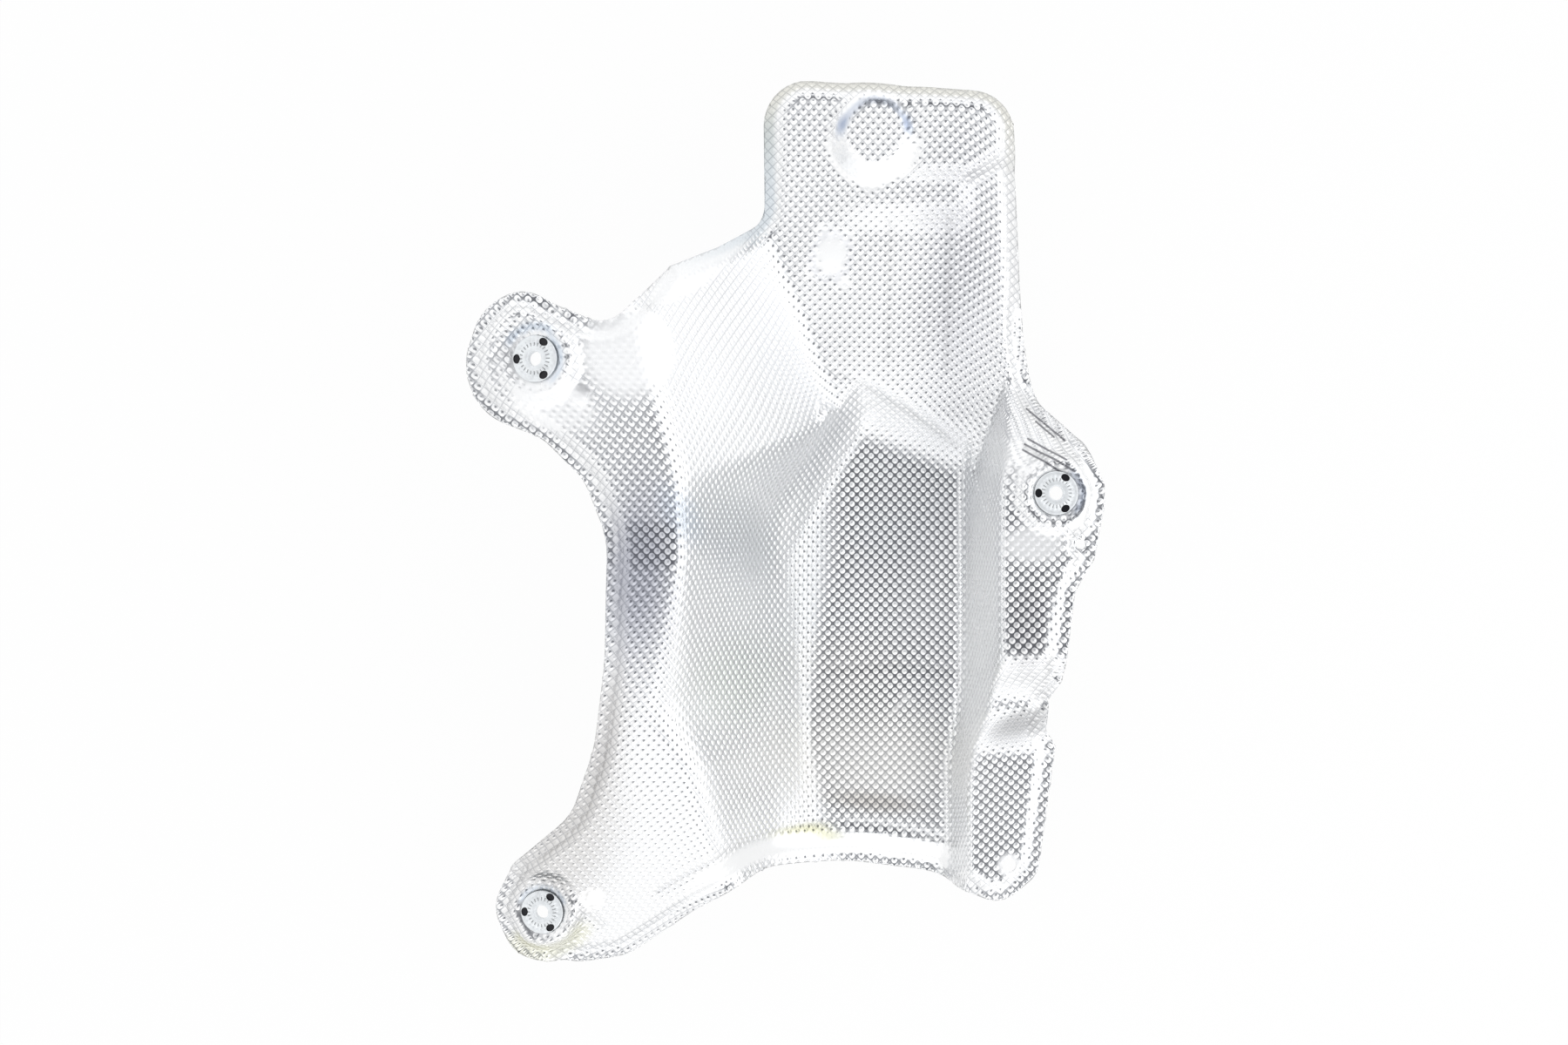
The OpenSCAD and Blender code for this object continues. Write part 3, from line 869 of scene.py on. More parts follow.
@dataclass(frozen=True)
class AluminiumFinish:
    """Bright rolled aluminium, with painted shade in the lines between the dimples and along the
    sharp folds.
    """

    name: str = "aluminium_sheet"
    bright: Colour = (0.92, 0.925, 0.93)
    # Painted shade: darker colour of the lines between the dimples.
    groove: Colour = (0.64, 0.65, 0.67)
    roughness: Span = (0.19, 0.33)
    cloud_scale: float = 22.0
    cloud_detail: float = 3.0
    groove_width: float = 0.14
    dome_r: float = 0.42
    dome_h: float = 0.46
    dome_power: float = 0.6
    matt_loss: float = 0.9
    # Painted shade along the sharp folds beside the right ear: ends of each fold line in plan, in
    # mm.
    folds: tuple[tuple[float, float, float, float], ...] = (
        (110.8, 33.7, 128.0, 22.6), (112.0, 36.4, 133.3, 23.6), (113.7, 39.0, 129.7, 28.9),
        (115.0, 54.0, 131.0, 38.5), (118.5, 47.5, 126.0, 40.0))
    fold_half: float = 0.32
    fold_fade: float = 2.2
    fold_share: float = 0.85
    fold_painted_shade: Colour = (0.13, 0.13, 0.15)

    def material(self) -> bpy.types.Material:
        """Builds the material from the sheet's own net coordinates.

        Returns:
            The material.
        """
        mat = bpy.data.materials.new(self.name)
        mat.use_nodes = True
        nodes = Nodes(mat.node_tree)
        shader = mat.node_tree.nodes["Principled BSDF"]
        # Painted glare: the sheet turns less metallic under the glare patches.
        matt_glare = nodes.attribute("painted_glare").outputs["Fac"]
        nodes.feed(shader.inputs["Metallic"],
                   nodes.maths("MULTIPLY_ADD", matt_glare, -self.matt_loss, 1.0))
        net = nodes.add("ShaderNodeUVMap")
        net.uv_map = "net"
        split = nodes.add("ShaderNodeSeparateXYZ", {"Vector": net.outputs["UV"]})
        lines = [nodes.maths("PINGPONG", split.outputs[axis], 0.5) for axis in ("X", "Y")]
        flat = nodes.attribute("coined").outputs["Fac"]
        # Painted shade in the lines between the dimples, lifted where the dimples are pressed
        # flat.
        lift = nodes.maths("ADD", nodes.maths("MINIMUM", *lines), flat)
        tone = nodes.tones(lift, ((0.0, self.groove), (self.groove_width, self.bright)), "EASE")
        nodes.feed(shader.inputs["Normal"], self._domes(nodes, lines, flat))
        place = nodes.add("ShaderNodeTexCoord").outputs["Object"]
        cloud = nodes.add("ShaderNodeTexNoise", {"Scale": self.cloud_scale, "Vector": place,
                                                 "Detail": self.cloud_detail})
        rough = nodes.add("ShaderNodeMapRange", {
            "Value": cloud.outputs["Fac"], "To Min": self.roughness[0],
            "To Max": self.roughness[1]})
        nodes.feed(shader.inputs["Roughness"], rough.outputs["Result"])
        # Painted shade and light, with the heat stains, multiply the colour here.
        tinted_and_shaded = nodes.blend(1.0, tone, nodes.attribute("tint_and_shade").outputs["Color"], "MULTIPLY")
        # Painted shade: dark lines along the sharp folds.
        fold_shaded = nodes.blend(self._folds(nodes, place), tinted_and_shaded, (*self.fold_painted_shade, 1))
        nodes.feed(shader.inputs["Base Color"], fold_shaded)
        return mat

    def _folds(self, nodes: Nodes, place: bpy.types.NodeSocket) -> bpy.types.NodeSocket:
        """Paints shade along the sharp folds beside the right ear, straight lines in plan.

        Args:
            nodes: The material's nodes.
            place: Places on the sheet in the frame.

        Returns:
            Share of the fold's shade, from 0 to 1.
        """
        plan = nodes.vector("MULTIPLY", place, (1, 1, 0)).outputs[0]
        nearest = None
        for x0, y0, x1, y1 in self.folds:
            start = Vector((x0 + ORIGIN_SHIFT[0], y0 + ORIGIN_SHIFT[1], 0)) * MM
            run = Vector((x1 - x0, y1 - y0, 0)) * MM
            off = nodes.vector("SUBTRACT", plan, start).outputs[0]
            part = nodes.vector("DOT_PRODUCT", off, run / run.length_squared).outputs["Value"]
            along = nodes.vector("SCALE", run)
            nodes.feed(along.inputs["Scale"], nodes.maths("ADD", part, 0.0, clamp=True))
            gap = nodes.vector("SUBTRACT", off, along.outputs[0]).outputs[0]
            away = nodes.vector("LENGTH", gap).outputs["Value"]
            nearest = away if nearest is None else nodes.maths("MINIMUM", nearest, away)
        share = nodes.add("ShaderNodeMapRange", {
            "Value": nearest, "From Min": self.fold_half * MM,
            "From Max": self.fold_fade * self.fold_half * MM, "To Min": self.fold_share,
            "To Max": 0.0})
        return share.outputs["Result"]

    def _domes(self, nodes: Nodes, lines: list[bpy.types.NodeSocket],
               flat: bpy.types.NodeSocket) -> bpy.types.NodeSocket:
        """Rounds the dimples between the mesh's vertices with a dome over each net cell.

        Args:
            nodes: The material's nodes.
            lines: Distances to the nearest net line along both net directions.
            flat: Share of flattening.

        Returns:
            The bumped normal.
        """
        squares = []
        for line in lines:
            off = nodes.maths("SUBTRACT", 0.5, line)
            squares.append(nodes.maths("MULTIPLY", off, off))
        reach = nodes.maths("DIVIDE", nodes.maths("ADD", *squares), self.dome_r ** 2)
        fall = nodes.maths("POWER", reach, self.dome_power)
        dome = nodes.maths("MAXIMUM", nodes.maths("SUBTRACT", 1.0, fall), 0.0)
        height = nodes.maths("MULTIPLY", dome, nodes.maths("SUBTRACT", 1.0, flat))
        bump = nodes.add("ShaderNodeBump", {"Strength": 1.0, "Distance": self.dome_h * MM,
                                            "Height": height})
        return bump.outputs["Normal"]


@dataclass(frozen=True)
class SteelFinish:
    """Pale zinc-plated steel of the washers, with painted shadow in the windows and the notches
    between the teeth.
    """

    name: str = "zinc_steel"
    colour: Colour = (0.9, 0.93, 0.95)
    mottle: float = 0.86
    mottle_span: Span = (0.3, 0.62)
    cloud_scale: float = 420.0
    cloud_detail: float = 3.0
    # Painted shadow: near black colour of the window and notch faces.
    shadow: Colour = (0.012, 0.012, 0.016)
    metallic: float = 0.3
    roughness: float = 0.36

    def material(self) -> bpy.types.Material:
        """Builds the material with a mottled plating and the window shade.

        Returns:
            The material.
        """
        mat = bpy.data.materials.new(self.name)
        mat.use_nodes = True
        nodes = Nodes(mat.node_tree)
        shader = mat.node_tree.nodes["Principled BSDF"]
        shader.inputs["Metallic"].default_value = self.metallic
        shader.inputs["Roughness"].default_value = self.roughness
        place = nodes.add("ShaderNodeTexCoord").outputs["Object"]
        cloud = nodes.add("ShaderNodeTexNoise", {"Scale": self.cloud_scale, "Vector": place,
                                                 "Detail": self.cloud_detail})
        dull = tuple(self.mottle * c for c in self.colour)
        tone = nodes.tones(cloud.outputs["Fac"], ((self.mottle_span[0], dull),
                                                  (self.mottle_span[1], self.colour)))
        # Painted shadow: the window and notch faces take the shadow colour.
        shade = nodes.attribute("window").outputs["Fac"]
        nodes.feed(shader.inputs["Base Color"], nodes.blend(shade, tone, (*self.shadow, 1)))
        return mat


@dataclass
class Trim:
    """The net's vertices, with those past an edge drawn onto it, in mm."""

    place: np.ndarray
    foot: np.ndarray
    depth: np.ndarray
    out_edge: np.ndarray
    in_hole: np.ndarray


@dataclass
class Sheet:
    """The pressed sheet with its dimples, edge strip and holes. Lengths are in mm.

    A pair of numbers holds where a step starts and where it ends.
    """

    form: Form = field(default_factory=Form)
    outline: Outline = field(default_factory=Outline)
    thickness: float = 0.8
    dimple_room: float = 0.25
    rim_w: float = 4.5
    rim_wall_w: float = 5.0
    rim_drop: float = 6.0
    rim_straight: float = 0.35
    tip_drop: float = 10.0
    tip_power: float = 1.7
    roll_y: Span = (88.0, 112.0)
    side_ease: float = 0.55
    side_x: Span = (88.0, 100.0)
    side_y: Span = (12.0, 30.0)
    dimple_h: float = 0.42
    dimple_from: float = 0.25
    groove_share: float = 0.35
    coin_sink: float = 0.12
    seat_hole_r: float = 7.6
    seat_flat: Span = (10.6, 12.2)
    ear_hole: tuple[float, float, float] = (137.5, -10.0, 2.5)
    foot_hole: tuple[float, float, float] = (107.0, -163.0, 3.5)
    land_r: Span = (4.0, 7.0)
    land_rise: float = 0.5
    pad_at: tuple[float, float] = (21.9, 124.5)
    pad_half: tuple[float, float] = (9.0, 12.0)
    pad_turn: float = -15.0
    pad_edge: float = 1.0
    pad_grain: tuple[tuple[float, float], ...] = ((0.8, 0.4), (-0.3, 0.7))
    pad_core: Span = (0.45, 1.0)
    pad_worn: Span = (-0.35, 0.15)
    pad_worn_share: float = 0.9
    pad_least: float = 0.3
    pips: tuple[tuple[float, float], ...] = ((-88.5, 55.0), (-89.5, -176.0))
    pip_h: float = 1.0
    pip_r: float = 2.6
    pip_run: float = 2.5
    wall_calm: float = 0.25
    right_calm: float = 0.05
    right_x: Span = (60.0, 80.0)
    wall_slope: Span = (1.4, 3.0)
    lip_left: Span = (-48.0, -30.0)
    lip_right: Span = (74.0, 88.0)
    lip_top: Span = (-140.0, -125.0)
    lip_start: Span = (4.0, 6.0)
    lip_end: Span = (14.5, 16.5)
    lip_calm: float = 0.9
    lip_drop: float = 2.0
    lip_run: float = 6.5
    dish_rise: float = 1.3
    dish_in: float = 10.2
    dish_out: float = 14.5
    dish_end: float = 19.0
    waves: tuple[tuple[float, float, float, float], ...] = (
        (0.21, 0.092, 0.041, 0.7), (0.17, -0.055, 0.108, 2.1), (0.12, 0.151, -0.083, 4.0))
    wave_edge: Span = (2.0, 14.0)
    wave_seat: Span = (16.0, 26.0)
    # Painted glare: flattening under the glare patches, and how much paler they make the colour.
    matt_flat: float = 0.6
    matt_span: Span = (0.5, 0.9)
    glare_paint_lift: float = 0.08
    # Painted shade: the edge strip darkened where it turns down, beige along the tongue's top and
    # blue-grey along the upper left.
    strip_depth: Span = (3.5, 6.5)
    strip_top: Span = (150.0, 190.0)
    strip_top_painted_shade: Colour = (0.86, 0.85, 0.79)
    strip_left: Span = (110.0, 135.0)
    strip_left_end: Span = (178.0, 196.0)
    strip_left_x: float = 20.0
    strip_left_painted_shade: Colour = (0.78, 0.83, 0.87)
    box_gap: float = 0.05
    weld: float = 0.02

    def net(self) -> tuple[np.ndarray, np.ndarray]:
        """Fine plan places and net coordinates, two steps per dimple.

        Returns:
            Plan places in mm and net coordinates in dimples.
        """
        nodes = Lattice(self.form).nodes()
        n = len(nodes)
        fine = np.empty((2 * n - 1, 2 * n - 1, 2))
        fine[::2, ::2] = nodes
        fine[1::2, ::2] = (nodes[:-1] + nodes[1:]) / 2
        fine[:, 1::2] = (fine[:, :-2:2] + fine[:, 2::2]) / 2
        k = np.arange(2 * n - 1) / 2
        return fine, np.stack(np.meshgrid(k, k, indexing="ij"), -1)

    def pad(self, p: np.ndarray) -> np.ndarray:
        """Share of flattening by the coined pad on the tongue, worn in patches.

        Args:
            p: Points in plan, one row each, in mm.

        Returns:
            Shares from 0 to 1.
        """
        c, s = math.cos(math.radians(-self.pad_turn)), math.sin(math.radians(-self.pad_turn))
        dx, dy = p[:, 0] - self.pad_at[0], p[:, 1] - self.pad_at[1]
        u, v = np.abs(dx * c - dy * s), np.abs(dx * s + dy * c)
        (wide, high), edge = self.pad_half, self.pad_edge
        whole = (1 - ramp(u, wide - edge, wide + edge)) * (1 - ramp(v, high - edge, high + edge))
        one, two = (np.sin(kx * dx + ky * dy) for kx, ky in self.pad_grain)
        core = 1 - ramp(np.hypot(dx / wide, dy / high), *self.pad_core)
        worn = core + self.pad_worn_share * ramp(one * two, *self.pad_worn)
        return whole * np.clip(worn, self.pad_least, 1)

    def coined(self, p: np.ndarray, depth: np.ndarray) -> np.ndarray:
        """Share of flattening at points, 1 inside the coined pad and on the seats.

        Args:
            p: Points in plan in mm.
            depth: Depths inside the outline in mm.

        Returns:
            Shares from 0 to 1.
        """
        out = self.pad(p)
        for seat in SEATS:
            r = np.hypot(p[:, 0] - seat.x, p[:, 1] - seat.y)
            out = np.maximum(out, 1 - ramp(r, *self.seat_flat))
        for patch in IRONED:
            out = np.maximum(out, patch.mask(p))
        gx = self.form.height(p[:, 0] + 0.5, p[:, 1]) - self.form.height(p[:, 0] - 0.5, p[:, 1])
        gy = self.form.height(p[:, 0], p[:, 1] + 0.5) - self.form.height(p[:, 0], p[:, 1] - 0.5)
        calm = self.wall_calm + (self.right_calm - self.wall_calm) * ramp(p[:, 0], *self.right_x)
        out = np.maximum(out, calm * ramp(np.hypot(gx, gy), *self.wall_slope))
        lip = self.lip(p) * ramp(depth, *self.lip_start) * (1 - ramp(depth, *self.lip_end))
        return np.maximum(out, self.lip_calm * lip)

    def lip(self, p: np.ndarray) -> np.ndarray:
        """Share of the smooth lip along the trough's open end."""
        return (ramp(p[:, 0], *self.lip_left) * (1 - ramp(p[:, 0], *self.lip_right))
                * (1 - ramp(p[:, 1], *self.lip_top)))

    def edge_strip(self, p: np.ndarray, foot: np.ndarray, depth: np.ndarray) -> np.ndarray:
        """Height of the form with the strip dropped along the outline.

        Args:
            p: Points in plan in mm.
            foot: Nearest points of the outline.
            depth: Depths inside the outline.

        Returns:
            Heights in mm.
        """
        rim_in = self.rim_w + self.rim_wall_w
        inward = (p - foot) / np.maximum(np.abs(depth), 1e-6)[:, None]
        base = foot + inward * rim_in
        held = self.form.height(base[:, 0], base[:, 1])
        t = np.clip((rim_in - depth) / self.rim_wall_w, 0, 1)
        roll = ramp(base[:, 1], *self.roll_y)
        bent = self.rim_straight * t + (1 - self.rim_straight) * t * t * (3 - 2 * t)
        lip = self.lip(p)
        side = ramp(base[:, 0], *self.side_x) * ramp(-base[:, 1], *self.side_y)
        step = (self.rim_drop * bent * (1 - lip * self.lip_drop / self.rim_drop)
                * (1 - self.side_ease * side))
        round_off = self.tip_drop * np.clip((rim_in - depth) / rim_in, 0, 1) ** self.tip_power
        out = np.where(depth < rim_in, held - step * (1 - roll) - round_off * roll,
                       self.form.height(p[:, 0], p[:, 1]))
        return out - self.lip_drop * lip * (1 - np.clip((depth - rim_in) / self.lip_run, 0, 1))

    def surface(self, p: np.ndarray, foot: np.ndarray, depth: np.ndarray) -> np.ndarray:
        """Height of the smooth upper side: strip, dished seats, creases, waves and pips.

        Args:
            p: Points in plan in mm.
            foot: Nearest points of the outline.
            depth: Depths inside the outline.

        Returns:
            Heights in mm.
        """
        out = self.edge_strip(p, foot, depth)
        calm = ramp(depth, *self.wave_edge)
        for seat in SEATS:
            r = np.hypot(p[:, 0] - seat.x, p[:, 1] - seat.y)
            rise = self.dish_rise * (r - self.dish_in) / (self.dish_out - self.dish_in)
            out = out + (np.clip(rise, 0, self.dish_rise)
                         * (1 - ramp(r, self.dish_out, self.dish_end)))
            calm = calm * ramp(r, *self.wave_seat)
        for crease in CREASES:
            out = out - crease.sink(p)
        away = np.hypot(p[:, 0] - self.ear_hole[0], p[:, 1] - self.ear_hole[1])
        land = 1 - ramp(away, *self.land_r)
        out = out * (1 - land) + (self.form.flange_z - self.rim_drop + self.land_rise) * land
        for high, kx, ky, start in self.waves:
            out = out + high * calm * np.sin(kx * p[:, 0] + ky * p[:, 1] + start)
        for px, py in self.pips:
            away = np.hypot(p[:, 0] - px, p[:, 1] - py)
            out = out + self.pip_h * (1 - ramp(away, self.pip_r, self.pip_r + self.pip_run))
        return out

    def tint_and_shade(self, p: np.ndarray, depth: np.ndarray) -> np.ndarray:
        """Colour that multiplies the aluminium's: painted shade and light from the patches, the
        edge strip and the creases, and the heat stains.

        Args:
            p: Points in plan, one row each, in mm.
            depth: Depths inside the outline in mm.

        Returns:
            Colours, one row each.
        """
        out = np.ones((len(p), 3))
        # Painted shade along the edge strip.
        strip = 1 - ramp(depth, *self.strip_depth)
        top = strip * ramp(p[:, 1], *self.strip_top)
        left = (strip * ramp(p[:, 1], *self.strip_left)
                * (1 - ramp(p[:, 1], *self.strip_left_end)) * (p[:, 0] < self.strip_left_x))
        for share, shade in ((top, self.strip_top_painted_shade), (left, self.strip_left_painted_shade)):
            out *= 1 - share[:, None] * (1 - np.array(shade))
        # Painted shade and light from the patches, and the heat stains.
        for shade_and_stain in SHADES_AND_STAINS:
            out *= 1 - shade_and_stain.mask(p)[:, None] * (1 - np.array(shade_and_stain.shade))
        # Painted shade along each crease.
        for crease in CREASES:
            out *= 1 - crease.shade * crease.sink(p)[:, None] / crease.depth
        return out

    def trim(self, source: np.ndarray) -> Trim:
        """Draws vertices past the outline or inside a hole onto its edge.

        Args:
            source: Plan places of the net's vertices in mm.

        Returns:
            The trimmed vertices.
        """
        foot, depth = self.outline.nearest(source)
        holes = [(s.x, s.y, self.seat_hole_r) for s in SEATS] + [self.ear_hole, self.foot_hole]
        gap = np.full(len(source), FAR)
        near_hole = np.zeros_like(source)
        for hx, hy, hr in holes:
            d = source - (hx, hy)
            r = np.hypot(d[:, 0], d[:, 1])
            closer = r - hr < gap
            gap[closer] = (r - hr)[closer]
            near_hole[closer] = ((hx, hy) + d / np.maximum(r, 1e-6)[:, None] * hr)[closer]
        out_edge, in_hole = depth <= 0, gap <= 0
        place = source.copy()
        place[out_edge] = foot[out_edge]
        place[in_hole] = near_hole[in_hole]
        foot, depth = self.outline.nearest(place)
        depth = np.where(out_edge, 1e-4, depth)
        foot = np.where(out_edge[:, None], self._outward(place, source), foot)
        return Trim(place, foot, depth, out_edge, in_hole)

    def _outward(self, place: np.ndarray, source: np.ndarray) -> np.ndarray:
        """Points just outside the outline, so that edge points know their inward side.

        Args:
            place: Vertices on the outline.
            source: The same vertices before they were drawn onto it.

        Returns:
            The shifted points.
        """
        step = source - place
        size = np.maximum(np.linalg.norm(step, axis=1), 1e-9)[:, None]
        return place + step / size * 1e-4

    def relief(self, cells: np.ndarray, coined: np.ndarray) -> np.ndarray:
        """Dimples over the smooth side.

        Args:
            cells: Net coordinates of the vertices in dimples.
            coined: Shares of flattening.

        Returns:
            Heights over the smooth side in mm.
        """
        crown = np.where(cells - np.floor(cells) > self.dimple_from, 1.0, 0.0)
        bump = self.dimple_h * (crown[:, 0] * crown[:, 1]
                                - self.groove_share * (1 - crown.max(1)))
        return bump * (1 - coined) - self.coin_sink * coined

    def _shape(self, bm: bmesh.types.BMesh, cut: Trim, cells: np.ndarray) -> None:
        """Places the net's vertices and writes what the material reads from them.

        Args:
            bm: The sheet's mesh.
            cut: Its trimmed vertices.
            cells: Their net coordinates.
        """
        matt_glare = np.max([patch.mask(cut.place) for patch in GLARE_PATCHES], axis=0)
        coined = np.maximum(self.coined(cut.place, cut.depth),
                            self.matt_flat * ramp(matt_glare, *self.matt_span))
        # Painted light: the glare patches make the colour paler.
        tint_and_shade = self.tint_and_shade(cut.place, cut.depth) * (1 + self.glare_paint_lift * matt_glare[:, None])
        z = self.surface(cut.place, cut.foot, cut.depth)
        bump = np.where(cut.out_edge | cut.in_hole, 0, self.relief(cells, coined))
        at = np.column_stack([cut.place[:, 0] + ORIGIN_SHIFT[0], cut.place[:, 1] + ORIGIN_SHIFT[1],
                              z + bump + ORIGIN_SHIFT[2] - self.dimple_h]) * MM
        flatness = bm.verts.layers.float.new("coined")
        tint_and_shade_layer = bm.verts.layers.float_color.new("tint_and_shade")
        glare_layer = bm.verts.layers.float.new("painted_glare")
        for v in bm.verts:
            i = v.index
            v.co = at[i]
            v[flatness] = float(coined[i])
            v[glare_layer] = float(matt_glare[i])
            v[tint_and_shade_layer] = (*(float(t) for t in tint_and_shade[i]), 1.0)

    def build(self) -> bpy.types.Object:
        """Makes the sheet's mesh.

        Returns:
            The sheet's object, with its place in its mesh.
        """
        fine, net = self.net()
        n = fine.shape[0]
        bm = bmesh.new()
        bmesh.ops.create_grid(bm, x_segments=n - 1, y_segments=n - 1, size=0.5)
        bm.verts.ensure_lookup_table()
        index = np.rint((np.array([v.co[:2] for v in bm.verts]) + 0.5) * (n - 1)).astype(int)
        order = index[:, 0] * n + index[:, 1]
        cells = net.reshape(-1, 2)[order]
        cut = self.trim(fine.reshape(-1, 2)[order])
        kept = ~(cut.out_edge | cut.in_hole)
        doomed = {f for f in bm.faces if not any(kept[v.index] for v in f.verts)}
        uv = bm.loops.layers.uv.new("net")
        self._shape(bm, cut, cells)
        for f in bm.faces:
            if f not in doomed:
                f.smooth = True
                for loop in f.loops:
                    loop[uv].uv = cells[loop.vert.index]
        bmesh.ops.delete(bm, geom=list(doomed), context="FACES")
        bmesh.ops.remove_doubles(bm, verts=bm.verts, dist=self.weld * MM)
        obj = put("shield_sheet", bm)
        wall = obj.modifiers.new("thickness", "SOLIDIFY")
        wall.thickness = (self.thickness - self.dimple_room) * MM
        wall.offset = -1.0
        low, high = (np.array([float(c) for c in corner]) for corner in CAD_BOX)
        for v in bake(obj).vertices:
            v.co = np.clip(np.array(v.co), low + self.box_gap * MM, high - self.box_gap * MM)
        return obj


@dataclass
class Washer:
    """Captive steel washer: serrated disc, collar and three lugs under the sheet, in mm."""

    seat: Seat
    outer_r: float = 10.0
    bore_r: float = 3.25
    bore_drop: float = 0.3
    rim_drop: float = 0.95
    top: float = 1.7
    under: float = 0.32
    collar_r: float = 7.3
    foot: float = -2.5
    face: tuple[tuple[float, float], ...] = (
        (3.4, 0.12), (3.8, 0.02), (4.6, 0.0), (5.4, 0.06), (6.2, 0.16), (7.0, 0.3), (7.8, 0.44),
        (8.5, 0.6), (9.3, 0.64), (9.7, 0.7))
    teeth: int = 24
    steps_per_tooth: int = 6
    tooth_h: float = 0.36
    tooth_r: Span = (5.8, 8.2)
    upper_z: float = 1.0
    lugs: int = 3
    lug_at: tuple[float, float] = (8.0, 0.35)
    lug_size: tuple[float, float, float] = (2.8, 5.0, 0.7)
    window_angles: tuple[int, ...] = (60, 180, 300)
    window_at: float = 8.2
    window_half: tuple[float, float] = (1.65, 2.05)
    window_floor: float = 0.45
    window_sides: int = 32
    window_edge: float = 1.02
    window_core: float = 0.9
    window_top: float = 0.35
    cutter_h: float = 4.0
    notch_r: Span = (5.5, 7.1)
    notch_half: float = 0.2
    # Painted shade: share of the shadow colour in the notches between the teeth.
    notch_painted_shade: float = 0.55

    def profile(self) -> list[tuple[float, float]]:
        """Half section of the disc and collar.

        Returns:
            Radii and heights in mm, from the bore's foot round to it.
        """
        return [(self.bore_r, self.foot), (self.bore_r, self.top - self.bore_drop),
                *((r, self.top - drop) for r, drop in self.face),
                (self.outer_r, self.top - self.rim_drop), (self.outer_r, self.under),
                (self.collar_r, self.under), (self.collar_r, self.foot)]

    def build(self) -> bpy.types.Object:
        """Makes the washer's mesh in place.

        Returns:
            The washer's object.
        """
        bm = bmesh.new()
        ring = [bm.verts.new((r, 0, z)) for r, z in self.profile()]
        edges = [bm.edges.new((ring[i], ring[(i + 1) % len(ring)])) for i in range(len(ring))]
        bmesh.ops.spin(bm, geom=ring + edges, axis=(0, 0, 1), cent=(0, 0, 0),
                       steps=self.teeth * self.steps_per_tooth, angle=2 * math.pi,
                       use_merge=True)
        bmesh.ops.remove_doubles(bm, verts=bm.verts, dist=1e-4)
        for v in bm.verts:
            r = math.hypot(v.co.x, v.co.y)
            if self.tooth_r[0] < r < self.tooth_r[1] and v.co.z > self.upper_z:
                swing = math.cos(self.teeth * math.atan2(v.co.y, v.co.x))
                v.co.z -= self.tooth_h * (0.5 + 0.5 * swing)
        for k in range(self.lugs):
            lug = bmesh.ops.create_cube(bm, size=1.0)["verts"]
            place = (Matrix.Rotation(math.radians(360 / self.lugs * k), 4, "Z")
                     @ Matrix.Translation((self.lug_at[0], 0, self.foot + self.lug_at[1]))
                     @ Matrix.Diagonal((*self.lug_size, 1)))
            bmesh.ops.transform(bm, matrix=place, verts=lug)
        bmesh.ops.recalc_face_normals(bm, faces=bm.faces)
        obj = put(self.seat.node + "_steel", bm)
        self._cut_windows(obj)
        obj.data.transform(Matrix.Diagonal((MM, MM, MM, 1)) @ self.seat.matrix())
        return obj

    def _cut_windows(self, obj: bpy.types.Object) -> None:
        """Sinks the three windows near the rim and writes painted shadow onto their faces and the
        notches between the teeth.

        Args:
            obj: The washer at the origin, in mm.
        """
        bm = bmesh.new()
        for angle in self.window_angles:
            hole = bmesh.ops.create_cone(bm, cap_ends=True, segments=self.window_sides,
                                         radius1=1.0, radius2=1.0, depth=self.cutter_h)["verts"]
            middle = (self.window_at, 0, self.window_floor + self.cutter_h / 2)
            place = (Matrix.Rotation(math.radians(angle), 4, "Z") @ Matrix.Translation(middle)
                     @ Matrix.Diagonal((*self.window_half, 1, 1)))
            bmesh.ops.transform(bm, matrix=place, verts=hole)
        cutter = put("windows", bm)
        cut = obj.modifiers.new("windows", "BOOLEAN")
        cut.operation, cut.object, cut.solver = "DIFFERENCE", cutter, "EXACT"
        done = bake(obj)
        bpy.data.objects.remove(cutter)
        shade = done.attributes.new("window", "FLOAT", "FACE")
        for face in done.polygons:
            shade.data[face.index].value = self._shade(face)

    def _shade(self, face: bpy.types.MeshPolygon) -> float:
        """Share of shadow on a face, in a window or in a notch between two teeth.

        Args:
            face: Face of the washer at the origin.

        Returns:
            The share, from 0 to 1.
        """
        x, y, z = face.center
        r, angle = math.hypot(x, y), math.degrees(math.atan2(y, x))
        turn = math.radians(angle % (360 / len(self.window_angles)) - self.window_angles[0])
        across, along = r * math.cos(turn) - self.window_at, r * math.sin(turn)
        near = math.hypot(across / self.window_half[0], along / self.window_half[1])
        window = (near < self.window_edge
                  and self.window_floor - 0.01 < z < self.top - self.window_top
                  and (face.normal.z < 0.5 or near < self.window_core))
        phase = angle * self.teeth / 360 % 1
        notch = (self.notch_r[0] < r < self.notch_r[1] and z > self.upper_z
                 and min(phase, 1 - phase) < self.notch_half)
        return max(float(window), self.notch_painted_shade * notch)


